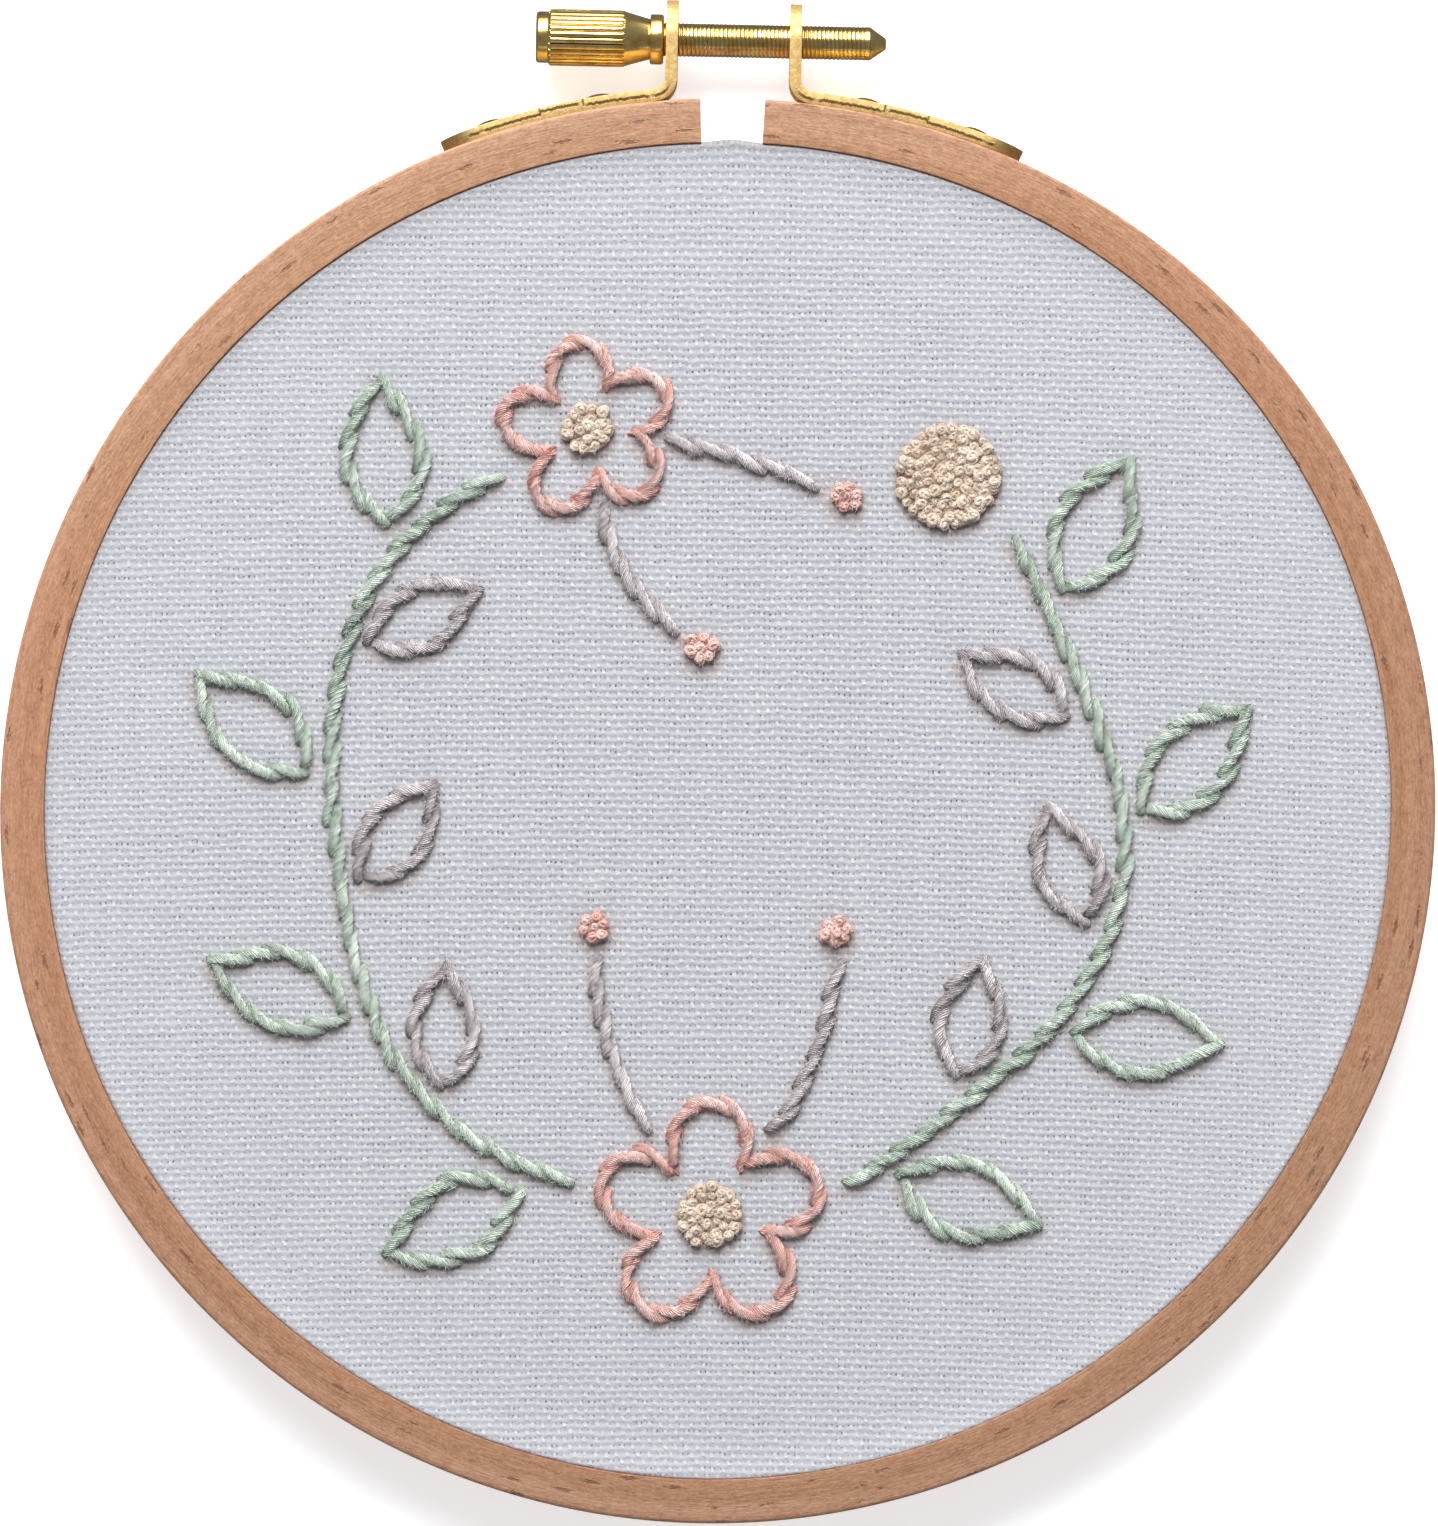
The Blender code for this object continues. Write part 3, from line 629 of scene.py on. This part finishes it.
# Painted shade darkens the grooves between the grip's ribs and the bottom of the thread.
radius = bar.length(bar.join(0.0, across, up))
off_grip = bar.size(bar.minus(along, (GRIP_FROM + GRIP_TO) / 2))
groove_shade = bar.times(bar.between(radius, GRIP_R - RIB_DEEP, GRIP_R - 0.06, 1.0, 0.0),
                  bar.between(off_grip, 4.2, 4.3, 1.0, 0.0))
thread_bottom = bar.size(bar.minus(radius, SHANK_R - THREAD_DEEP))
groove_shade = bar.math("MAXIMUM", groove_shade, bar.between(thread_bottom, 0.0, 0.06, 0.5, 0.0))
rubbed = bar.noise(lay, 0.7, detail=4.0, rough=0.6)
tool_marks = bar.noise(bar.join(along, 0.0, 0.0), 9.0)
colour = bar.ramp(rubbed, (0.3, linear(212, 166, 80)), (0.68, linear(250, 222, 150)))
colour = bar.blend(bar.times(groove_shade, 0.7), colour, linear(96, 64, 26))
roughness = bar.between(rubbed, 0.3, 0.7, 0.26, 0.17)
TURNED_BRASS = bar.finish(Base_Color=colour, Metallic=1.0, Roughness=roughness,
                          Normal=bar.bump(tool_marks, 0.008))
for side, word in ((-1, "left"), (1, "right")):
    for where, reach in RIVET_REACH.items():
        rivet(side, reach, f"rivet_head_{word}_{where}", f"rivet_{word}_{where}")

# ---- Thumbscrew ----
# Turned from one brass bar: an end cap, a grip pressed with ribs, a cone, a collar that bears on the
# left ear, and a long threaded shank with a pointed tip. It turns freely in the left ear.
COLLAR_END = -(EAR_X + STRIP_T / 2 + 0.3)
THREAD_PITCH = 0.5
THREAD_END = 15.9
RUN_OUT = 0.8  # the thread grows shallow over this length before its end
RIBS = 27
head_profile = np.array([  # distance along the axis from the middle of the split, radius
    (COLLAR_END, 1.75), (COLLAR_END, 2.7), (COLLAR_END - 0.06, 2.82), (COLLAR_END - 0.16, 2.91),
    (COLLAR_END - 0.32, 2.95), (-9.68, 2.95), (-9.78, 2.9), (-9.84, 2.78), (-9.84, 2.45), (-9.9, 2.4),
    (-10.1, 2.44), (-12.5, 3.13), (-12.7, 3.21), (-12.85, 3.25), (GRIP_TO, 3.29), (GRIP_TO - 0.12, GRIP_R),
    (-15.0, GRIP_R), (-17.2, GRIP_R), (-19.4, GRIP_R), (GRIP_FROM + 0.12, GRIP_R), (GRIP_FROM, 3.29),
    (-21.7, 3.1), (-21.82, 3.0), (-21.95, 3.02), (-22.85, 3.02), (-23.02, 2.98), (-23.14, 2.88),
    (-23.2, 2.7), (-23.2, 1.2), (-23.2, 0.05)])
tip_profile = np.array([
    (THREAD_END, SHANK_R), (16.4, 1.62), (17.5, 0.86), (17.72, 0.72), (17.84, 0.5), (17.84, 0.03)])


def turned(along, radius, turn):
    """Skin of a shape turned round the screw's axis."""
    across, up = around(radius, turn)
    return skin(vectors(along, SCREW_Y + across, MID_DEPTH + up), vectors(along, across, up))


turn = linspace(0, tau, 8 * RIBS + 1)
along, radius = (column[:, None] for column in head_profile.T)
ribbed = ((along <= GRIP_TO) & (along >= GRIP_FROM)) * 1.0
head = turned(along, radius - ribbed * RIB_DEEP * (1 - np.abs(sin(RIBS * turn / 2)) ** 0.35), turn)
turn = linspace(0, tau, 49)
along = np.arange(COLLAR_END + 0.02, THREAD_END, THREAD_PITCH / 6)[:, None]
phase = (along / THREAD_PITCH - turn / tau) % 1
deep = THREAD_DEEP * (0.5 - 0.5 * cos(tau * phase)) ** 1.6
deep = deep * clip((THREAD_END - along) / RUN_OUT, 0, 1)
shank = turned(np.concatenate([along, tip_profile[:, :1]]),
               np.concatenate([SHANK_R - deep, tip_profile[:, 1:] + 0 * turn]), turn)
piece("turned_thumbscrew", [head, shank], TURNED_BRASS, "brass", "thumbscrew", body="screw")

# ---- Stitched stems, leaves, petals and sprigs ----
# Stem stitch in soft cotton, six strands to the needle: each slanted stitch comes up beside the last
# one and goes down ahead of it, which makes a rope. On the back it leaves a row of short stitches.
STITCH = 3.75  # advance of each stitch along its line
LAP = 0.36  # share of a stitch that lies beside its neighbour, at each end
SLANT = 0.50  # half the distance that a stitch crosses its line by
THREAD_R = 0.63
GROOVE = 0.80  # radius at the grooves between strands, as a share of THREAD_R
THREAD_TWIST = 2.7  # length in which the strands go once round each other
THREAD_SEAT = CLOTH_TOP + 0.44
TUCK = 1.05  # how far a stitch's ends go down into the cloth
END_SHADE = 0.32  # painted highlight and shade: how much paler a stitch is at its middle than where it tucks in
DEPTH_SHADE = 0.42  # painted shade: how much a thread darkens with each mm towards the cloth
HAIRS = 14  # loose ends of fibre on each mm of thread
HAIR_R = 0.040
OVERRUN = 0.3  # a line's first and last stitch reach this far past its ends
WREATH_R = 46.5
WAVE = 1.7  # how far the wreath's stems sway in and out
NOTCH = 0.24  # waist of a petal, as a share of its flower's radius
SWELL = 0.13  # how much wider than even a petal is, in radians
LINE_STEP = 0.25  # from one point of a drawn line to the next


def polar(degrees, radius):
    return around(radius, radians(degrees))


def vine_line(start, end, waves):
    """A stem along the wreath's circle, waving gently in and out."""
    part = linspace(0, 1, round(abs(radians(end - start)) * WREATH_R / LINE_STEP) + 1)
    angle = np.radians(start + (end - start) * part)
    radius = WREATH_R + WAVE * sin(tau * waves * part)
    return vectors(*around(radius, angle))


def leaf_sides(x, y, heading, length, width):
    """The two sides of a pointed oval, from its foot to its tip and from its tip to its foot."""
    part = linspace(0, 1, round(length / LINE_STEP) + 1)
    for side, part in ((1, part), (-1, part[::-1])):
        bulge = side * width / 2 * sin(pi * part ** 0.85)
        yield vectors(*swung(length * part, bulge, heading)) + (x, y)


def petal_sides(x, y, radius, turn):
    """A flower's petals one by one, each from one narrow notch to the next."""
    for petal in range(PETALS):
        angle = tau / PETALS * (petal - 0.5 + linspace(0, 1, round(1.6 * radius / LINE_STEP)))
        reach = radius * (1 - NOTCH + NOTCH * cos(PETALS * angle))
        angle = angle + SWELL * sin(PETALS * angle) + radians(turn)
        yield vectors(*around(reach, angle)) + (x, y)


def sprig_line(x, y, start, bend, length):
    """A short stem that bends evenly along its length."""
    count = round(length / LINE_STEP)
    heading = np.radians(start + bend * (np.arange(count) + 0.5) / count)
    steps = vectors(*around(1, heading)) * length / count
    return np.concatenate([[(x, y)], (x, y) + np.cumsum(steps, axis=0)])


def along_line(line):
    """A drawn line's length, and a function that gives places and headings at distances along it."""
    steps = np.hypot(*np.diff(line, axis=0).T)
    travel = np.concatenate([[0], np.cumsum(steps)])
    heading = unit(np.gradient(line, axis=0))

    def at(distance):
        place, facing = (vectors(*(np.interp(distance, travel, column) for column in columns.T))
                         for columns in (line, heading))
        facing = unit(facing)
        return place + facing * (distance - clip(distance, 0, travel[-1]))[..., None], facing

    return travel[-1], at


def travelled(paths):
    """Distance along each path at each of its points."""
    return np.cumsum(np.linalg.norm(np.diff(paths, axis=1, prepend=paths[:, :1]), axis=-1), axis=1)


def depth_shaded(tone, rings):
    """A thread's tone with painted shade, darker towards the cloth."""
    return tone + DEPTH_SHADE * (clip(rings[..., 2] - CLOTH_TOP, 0, 1.0) - 0.5)


def tubes(paths, radius, tone, sides=6):
    """Skin round plain threads: paths[thread, point], with a radius and a tone for each point."""
    tangent = unit(np.gradient(paths, axis=1))
    side = unit(np.cross(tangent, (0.0, 0.0, 1.0)))[:, :, None]
    over = np.cross(side, tangent[:, :, None])
    turn = linspace(0, tau, sides + 1)
    out = cos(turn)[:, None] * side + sin(turn)[:, None] * over
    rings = paths[:, :, None] + radius[:, :, None, None] * out
    # The tone also moves each thread to fibre of its own.
    travel = (travelled(paths) + 97 * tone[:, :1])[..., None]
    return skin(rings, vectors(travel, 5 * travel + turn / pi, depth_shaded(tone[..., None], rings)))


def laid(middle, across, part, size, strands=9, flatten=0.9):
    """Thread along each stitch, gathered at its ends. Its strands are ridges that twist round it."""
    stitches = len(middle)
    side = np.arange(2 * strands + 1)
    travel = travelled(middle)[..., None]
    twist = THREAD_TWIST * random.uniform(0.85, 1.2, (stitches, 1, 1))
    turn = random.uniform(0, tau, (stitches, 1, 1)) + tau * (side / (2 * strands) + travel / twist)
    uneven = 1 + random.normal(0, 0.07, (stitches, 1, 2 * strands))
    uneven = np.concatenate([uneven, uneven[..., :1]], axis=-1) * np.where(side % 2, GROOVE, 1)
    thick = size * (0.76 + 0.24 * sin(pi * part) ** 0.6) * (1 + random.normal(0, 0.05, (stitches, 1)))
    spread = thick[..., None] * uneven
    rings = middle[:, :, None] + across[:, :, None] * (spread * cos(turn))[..., None]
    rings[..., 2] += flatten * spread * sin(turn)
    # Painted highlight at each stitch's middle and painted shade where it tucks in.
    tone = random.normal(0.5, 0.10, (stitches, 1, 1)) + END_SHADE * (sin(pi * part) ** 1.2 - 0.6)[:, None]
    travel = travel + 13 * np.arange(stitches)[:, None, None]
    return skin(rings, vectors(travel, side / 2, depth_shaded(tone, rings)))


def fuzz(middle, across, size=THREAD_R, thick_with=HAIRS):
    """Loose fibre ends that stand out from the upper side of the stitches."""
    stitches, count = middle.shape[:2]
    steps = np.diff(middle, axis=1)
    hairs = int(thick_with * np.linalg.norm(steps, axis=-1).sum(axis=1).mean())
    rooted = random.uniform(0, count - 1.001, (stitches, hairs))
    which, share = rooted.astype(int), rooted % 1
    row = np.arange(stitches)[:, None]
    root = middle[row, which] + steps[row, which] * share[..., None]
    along = unit(steps[row, which])
    aside, up = across[row, which], np.array([0.0, 0.0, 1.0])
    turn = random.uniform(-0.12 * pi, 1.12 * pi, (stitches, hairs, 1))
    out = aside * cos(turn) + up * sin(turn)
    lean = random.normal(0, 0.8, (stitches, hairs, 1))
    curl = random.normal(0, 0.7, (stitches, hairs, 1))
    length = random.uniform(0.20, 0.62, (stitches, hairs, 1))
    root = root + out * 0.8 * size
    first = root + length * (0.6 * out + 0.5 * lean * along)
    bent = aside * cos(turn + curl) + up * sin(turn + curl)
    tip = first + length * (0.45 * bent + 0.5 * (lean + 0.5 * curl) * along)
    paths = np.stack([root, first, tip], axis=2).reshape(-1, 3, 3)
    paths[..., 2] = np.maximum(paths[..., 2], CLOTH_TOP + 0.03)
    radius = HAIR_R * np.array([1.0, 0.8, 0.25]) * random.uniform(0.7, 1.2, (len(paths), 1))
    # Painted highlight: the hairs are given a paler tone than their thread, as of fuzz that catches the
    # light.
    tone = clip(random.normal(0.75, 0.15, (len(paths), 1)), 0, 1)
    return tubes(paths, radius, tone + 0 * radius, sides=3)


def on_back(part):
    """Height of a stitch on the back of the cloth, at shares of the way along it."""
    return CLOTH_TOP - CLOTH_THICK + 0.2 - 0.5 * sin(pi * part) ** 0.6


def stem_stitch(line):
    """Skins of the stitches along a drawn line, on the face and on the back."""
    length, at = along_line(line)
    count = max(2, round(length / STITCH))
    pitch = length / count
    ends = np.arange(count + 1) * pitch

    def places(start, end, part):
        """Places and crosswise directions at shares of the way along each stitch."""
        place, facing = at(start[:, None] + (end - start)[:, None] * part)
        return place[..., 0], place[..., 1], vectors(-facing[..., 1], facing[..., 0], 0.0)

    start, end = ends[:-1] - LAP * pitch, ends[1:] + LAP * pitch
    start[0], end[-1] = -OVERRUN, length + OVERRUN
    start[1:] += random.normal(0, 0.14, count - 1)
    end[:-1] += random.normal(0, 0.14, count - 1)
    part = linspace(0, 1, 25)
    x, y, across = places(start, end, part)
    slant = SLANT * (1 + random.normal(0, 0.2, (count, 1))) * cos(pi * part)
    slant = slant + random.normal(0, 0.08, (count, 1))
    slant = slant + random.normal(0, 0.07, (count, 1)) * sin(tau * part)
    rise = TUCK * (sin(pi * part) ** 0.42 - 1) * (1 + random.normal(0, 0.05, (count, 1)))
    lifted = THREAD_SEAT + rise + random.normal(0, 0.04, (count, 1))
    middle = vectors(x, y, lifted) + across * slant[..., None]
    face = [laid(middle, across, part, THREAD_R), fuzz(middle[:, 2:-2], across[:, 2:-2])]
    part = linspace(0, 1, 7)
    x, y, across = places(ends[1:-1] - LAP * pitch, ends[1:-1] + LAP * pitch, part)
    return face + [laid(vectors(x, y, on_back(part)), across, part, 0.45, strands=5, flatten=0.6)]


def floss(name, pale, middling, dark):
    """Soft cotton floss. Its lay is the distance along the thread, its ridges' number and its tone, which
    carries painted shade and highlight.
    """
    thread = Finish(name)
    along, ridge, tone = thread.split(thread.lay())
    groove = thread.times(thread.math("PINGPONG", ridge, 0.5), 2.0)
    fibre = thread.join(thread.times(along, 1.6), thread.times(ridge, 2.4), 0.0)
    fibre = thread.noise(fibre, 1.0, detail=4.0, rough=0.7)
    # Painted shade and highlight: the colour is darker in the grooves between strands and paler on their
    # ridges.
    level = thread.weigh(thread.minus(0.45, groove), 0.55, tone)
    level = thread.weigh(thread.minus(fibre, 0.5), 0.8, level)
    colour = thread.ramp(level, (0.0, dark), (0.5, middling), (1.0, pale))
    height = thread.weigh(fibre, 0.6, thread.times(groove, -1.0))
    return thread.finish(Base_Color=colour, Roughness=0.75, Sheen_Weight=0.6, Sheen_Roughness=0.35,
                         Specular_IOR_Level=0.2, Normal=thread.bump(height, 0.05))


FLOSS_TONES = {  # pale, middling and dark
    "green": ((244, 252, 242), (204, 219, 202), (142, 154, 140)),
    "lilac": ((250, 243, 244), (205, 196, 197), (138, 126, 124)),
    "pink": ((255, 232, 226), (242, 190, 177), (204, 146, 130)),
    "cream": ((252, 238, 222), (229, 206, 183), (186, 154, 128)),
}
FLOSS = {f"{word}_thread": floss(f"{word}_floss", *(linear(*tone) for tone in tones))
         for word, tones in FLOSS_TONES.items()}
LEAVES = {  # length, width, lean from the stem and thread of the leaves outside and inside the wreath
    "out": (17.0, 8.6, radians(50), "green_thread"),
    "in": (14.0, 7.0, radians(42), "lilac_thread"),
}
LEAF_FOOT = 2.8  # foot of a leaf from the middle of its stem
VINES = {  # start and end angle, waves, side that faces outwards, and leaves, by turns out and in
    "left": (250, 124, 1.5, 1, (0.06, 0.19, 0.32, 0.46, 0.59, 0.74, 0.87)),
    "right": (-70, 44, -1.5, -1, (0.06, 0.20, 0.34, 0.48, 0.62, 0.77, 0.91)),
}
FLOWERS = {  # centre, radius and turn of the petals
    "bottom": ((0, -47.5), 13.2, 90),
    "top": (polar(110, 47.0), 10.0, 100),
}
PETALS = 5
SPRIGS = {  # flower, notch between petals that it springs from, bend and length
    "low_right": ("bottom", 0, 34, 22),
    "low_left": ("bottom", 1, -34, 22),
    "high_right": ("top", 4, -14, 19),
    "high_middle": ("top", 3, 46, 18),
}
SPRIG_FOOT = 0.9  # foot of a sprig, as a share of its flower's radius
BUD_R = 2.0
BUD_AHEAD = 3.3  # from the tip of a sprig to the middle of its bud
drawn = []  # every stitched line, for the pull of its stitches on the cloth


def stitched(node, lines, thread):
    """One motif: stem stitch along its lines."""
    lines = list(lines)
    drawn.extend(lines)
    skins = [one for line in lines for one in stem_stitch(line)]
    piece(f"stitched_{node}", skins, FLOSS[thread], thread, node)


for word, (start, end, waves, outwards, leaves) in VINES.items():
    vine = vine_line(start, end, waves)
    stitched(f"vine_{word}", [vine], "green_thread")
    length, at = along_line(vine)
    for number, share in enumerate(leaves):
        where = "in" if number % 2 else "out"
        leaf_length, width, lean, thread = LEAVES[where]
        turn = outwards if where == "out" else -outwards
        (x, y), (ahead, aside) = at(length * share)
        x, y = x - LEAF_FOOT * turn * aside, y + LEAF_FOOT * turn * ahead
        heading = atan2(aside, ahead) + turn * lean
        stitched(f"leaf_{word}_{number + 1}", leaf_sides(x, y, heading, leaf_length, width), thread)
for where, ((x, y), radius, turn) in FLOWERS.items():
    stitched(f"flower_{where}", petal_sides(x, y, radius, turn), "pink_thread")
buds = {}  # middle of the bud at the tip of each sprig
for where, (flower, notch, bend, length) in SPRIGS.items():
    middle, radius, turn = FLOWERS[flower]
    heading = turn + 360 / PETALS * (notch - 0.5)
    foot = np.add(middle, polar(heading, SPRIG_FOOT * radius))
    line = sprig_line(*foot, heading, bend, length)
    stitched(f"sprig_{where}", [line], "lilac_thread")
    buds[where] = line[-1] + BUD_AHEAD * unit(line[-1] - line[-2])

# ---- Knotted middles ----
# The flowers' middles and the small round bloom are filled with knots over a bed of straight
# stitches: the thread is wound twice round the needle, which goes down where it came up.
KNOT_RING = 0.57  # middle of a knot to the middle of its outer winding
KNOT_TURNS = 2.3
KNOT_THREAD = 0.23
KNOT_HAIRS = 4.0  # loose ends on each mm of a knot's thread
BED_PITCH = 0.42
BED_THREAD = 0.24
KNOTTED = {  # centre, radius, rings of knots as (distance from the middle, knots), thread
    "knots_bottom": (FLOWERS["bottom"][0], 3.6, ((0, 1), (1.2, 6), (2.3, 12), (3.2, 16)), "cream_thread"),
    "knots_top": (FLOWERS["top"][0], 3.0, ((0, 1), (1.15, 6), (2.3, 12)), "cream_thread"),
    "bloom": (polar(56.5, 47.3), 6.0,
              ((0, 1), (1.2, 6), (2.4, 12), (3.5, 18), (4.6, 23), (5.5, 28)), "cream_thread"),
}
for where, middle in buds.items():
    KNOTTED[f"bud_{where}"] = (middle, BUD_R, ((0, 1), (1.2, 6)), "pink_thread")


def knots(places):
    """Wound knots at places[knot], each a little different."""
    count = len(places)
    part = linspace(0, 1, 34)
    turn = random.uniform(0, tau, (count, 1)) + tau * KNOT_TURNS * part
    size = 1 + random.normal(0, 0.12, (count, 1))
    ring = KNOT_RING * size * np.interp(part, (0, 0.45, 0.55, 0.9, 1), (1.0, 0.96, 0.80, 0.30, 0.05))
    ring = ring * (1 + random.uniform(0.04, 0.2, (count, 1)) * sin(2.6 * turn))
    high = CLOTH_TOP + np.interp(part, (0, 0.07, 0.5, 0.86, 1), (-0.3, 0.32, 0.55, 0.84, 0.6)) * size
    tilt = random.normal(0, 0.22, (count, 2))
    squeeze = random.uniform(0.78, 1.0, (count, 1))
    lean = random.uniform(0, pi, (count, 1))
    x, y = swung(ring * cos(turn), ring * squeeze * sin(turn), lean)
    high = high + x * tilt[:, :1] + y * tilt[:, 1:]
    paths = vectors(places[:, :1] + x, places[:, 1:] + y, high)
    radius = KNOT_THREAD * size * (0.85 + 0.15 * sin(pi * part))
    winding = slice(6, -8)
    tone = random.normal(0.46, 0.10, (count, 1)) + 0.25 * (part - 0.5)
    outwards = unit(vectors(x, y, 0.0)[:, winding])
    return tubes(paths, radius, tone, sides=7), fuzz(paths[:, winding], outwards, KNOT_THREAD, KNOT_HAIRS)


def stitch_bed(x, y, radius, lean):
    """Straight stitches side by side that cover a round spot."""
    offset = np.arange(-radius + 0.3, radius - 0.2, BED_PITCH)[:, None]
    half = np.sqrt(radius ** 2 - offset ** 2) - 0.1
    part = linspace(0, 1, 11)
    along, aside = swung(half * (2 * part - 1), offset, lean)
    paths = vectors(x + along, y + aside, CLOTH_TOP - 0.25 + 0.5 * sin(pi * part) ** 0.25)
    thick = np.full(along.shape, BED_THREAD)
    # Painted shade: the bed is given a lower tone than the knots, for the shade between them.
    return tubes(paths, thick, random.normal(0.36, 0.1, (len(offset), 1)) + 0 * thick)


def crossings(places):
    """On the back, the thread passing from each knot to the next."""
    step = np.diff(places, axis=0)
    facing = unit(step)
    part = linspace(0, 1, 9)
    x, y = (places[:-1, i:i + 1] + step[:, i:i + 1] * part for i in (0, 1))
    middle = vectors(x, y, on_back(part))
    across = vectors(-facing[:, 1:], facing[:, :1], 0 * part)
    return laid(middle, across, part, 0.4, strands=4, flatten=0.6)


for node, (middle, radius, rings, thread) in KNOTTED.items():
    places = np.array([np.add(middle, polar(360 * (i + 0.3 * reach) / count, reach))
                       for reach, count in rings for i in range(count)])
    places += random.normal(0, 0.12, places.shape)
    skins = [stitch_bed(*middle, radius - 0.3, radians(25)), *knots(places), crossings(places)]
    piece(f"stitched_{node}", skins, FLOSS[thread], thread, node)
    drawn.append(middle + vectors(*around(radius - 0.4, linspace(0, tau, 60))))

# ---- Pull of the stitches, and their painted shadow ----
# Each stitched line draws the tight cloth down a little beside it, so the cloth dips to its stitches.
# A faint warm painted shadow is also laid on the cloth just below the threads.
PULL = 0.16
PULL_WIDE = 1.5
SHADE_OFF = 0.95  # painted warm shadow on the cloth, this far below the threads,
SHADE_WIDE = 1.05  # which fades over this distance
threads = np.concatenate(drawn)
tree = kdtree.KDTree(len(threads))
for number, (x, y) in enumerate(threads):
    tree.insert((x, y, 0), number)
tree.balance()
places = np.zeros(len(cloth.data.vertices) * 3)
cloth.data.vertices.foreach_get("co", places)
places = (places.reshape(-1, 3) - np.array(CENTRE)) / MM
near = np.array([tree.find((x, y, 0))[2] for x, y, _ in places])
on_face = clip((CLOTH_R - 2 - np.hypot(places[:, 0], places[:, 1])) / 3, 0, 1)
places[:, 2] -= PULL * on_face * np.exp(-(near / PULL_WIDE) ** 2)
cloth.data.vertices.foreach_set("co", (places * MM + np.array(CENTRE)).ravel())
shaded = np.array([tree.find((x, y + SHADE_OFF, 0))[2] for x, y, _ in places])
painted_shadow = cloth.data.attributes.new("painted_shadow", "FLOAT", "POINT")
painted_shadow.data.foreach_set("value", (on_face * np.exp(-(shaded / SHADE_WIDE) ** 2)).astype(np.float32))
cloth.data.update()

# ---- Floor, light and camera ----
# The hoop lies on a plain pale floor under two wide soft lights from beyond its top edge, a high one
# and a low one, with a weak fill from below it. The camera looks straight down, turned a little as
# in the photograph.
bpy.ops.mesh.primitive_plane_add(size=6, location=(0, 0, -0.0001))
floor = bpy.context.object
floor.name = "floor"
paper = Finish("pale_floor")
grain = paper.noise(paper.add("TexCoord", {}, "Object"), 40.0, detail=3.0)
floor.data.materials.append(paper.finish(
    Base_Color=paper.ramp(grain, (0.3, linear(236, 236, 237)), (0.7, linear(242, 242, 242))),
    Roughness=0.9, Specular_IOR_Level=0.1, Emission_Color=(1, 1, 1, 1), Emission_Strength=0.6))
floor.visible_glossy = False


def soft_light(name, elevation, azimuth, distance, width, height, power, colour=(1, 1, 1)):
    """A rectangular light that faces the hoop; azimuth 90 is beyond its top edge."""
    lamp = bpy.data.lights.new(name, "AREA")
    lamp.shape = "RECTANGLE"
    lamp.size, lamp.size_y = width, height
    lamp.energy = power
    lamp.color = colour
    made = in_scene(name, lamp)
    out, up = polar(elevation, distance)
    made.location = (*polar(azimuth, out), up)
    made.rotation_euler = (pi / 2 - radians(elevation), 0, radians(azimuth) + pi / 2)


soft_light("key_light", 42, 98, 2.20, 1.50, 1.30, 69.5)
soft_light("low_light", 17, 94, 1.50, 1.20, 0.70, 7.0)
soft_light("fill_light", 42, 270, 0.90, 0.90, 0.16, 0.3, (1.0, 0.88, 0.68))
world = bpy.data.worlds.new("studio")
world.use_nodes = True
sky = world.node_tree.nodes["Background"].inputs
sky["Color"].default_value = (0.84, 0.90, 1.0, 1.0)
sky["Strength"].default_value = 0.22
bpy.context.scene.world = world

PHOTO_WIDTH, PHOTO_HEIGHT = 1438, 1526
PIXELS_PER_MM = 8.56
HOOP_PIXEL = (717.9, 808.9)
CAMERA_HIGH = 1300.0
ROLL = radians(1.2)
SENSOR = 36
camera = bpy.data.cameras.new("camera")
camera.sensor_width = SENSOR
camera.lens = SENSOR * (CAMERA_HIGH - OUTER_DEPTH) * PIXELS_PER_MM / PHOTO_HEIGHT
camera.clip_start, camera.clip_end = 0.05, 20
right, up = swung((PHOTO_WIDTH / 2 - HOOP_PIXEL[0]) / PIXELS_PER_MM,
                  (HOOP_PIXEL[1] - PHOTO_HEIGHT / 2) / PIXELS_PER_MM, ROLL)
viewer = in_scene("camera", camera)
viewer.location = (CENTRE.x + right * MM, CENTRE.y + up * MM, CAMERA_HIGH * MM)
viewer.rotation_euler = (0, 0, ROLL)
bpy.context.scene.camera = viewer
bpy.context.scene.view_settings.view_transform = "Standard"
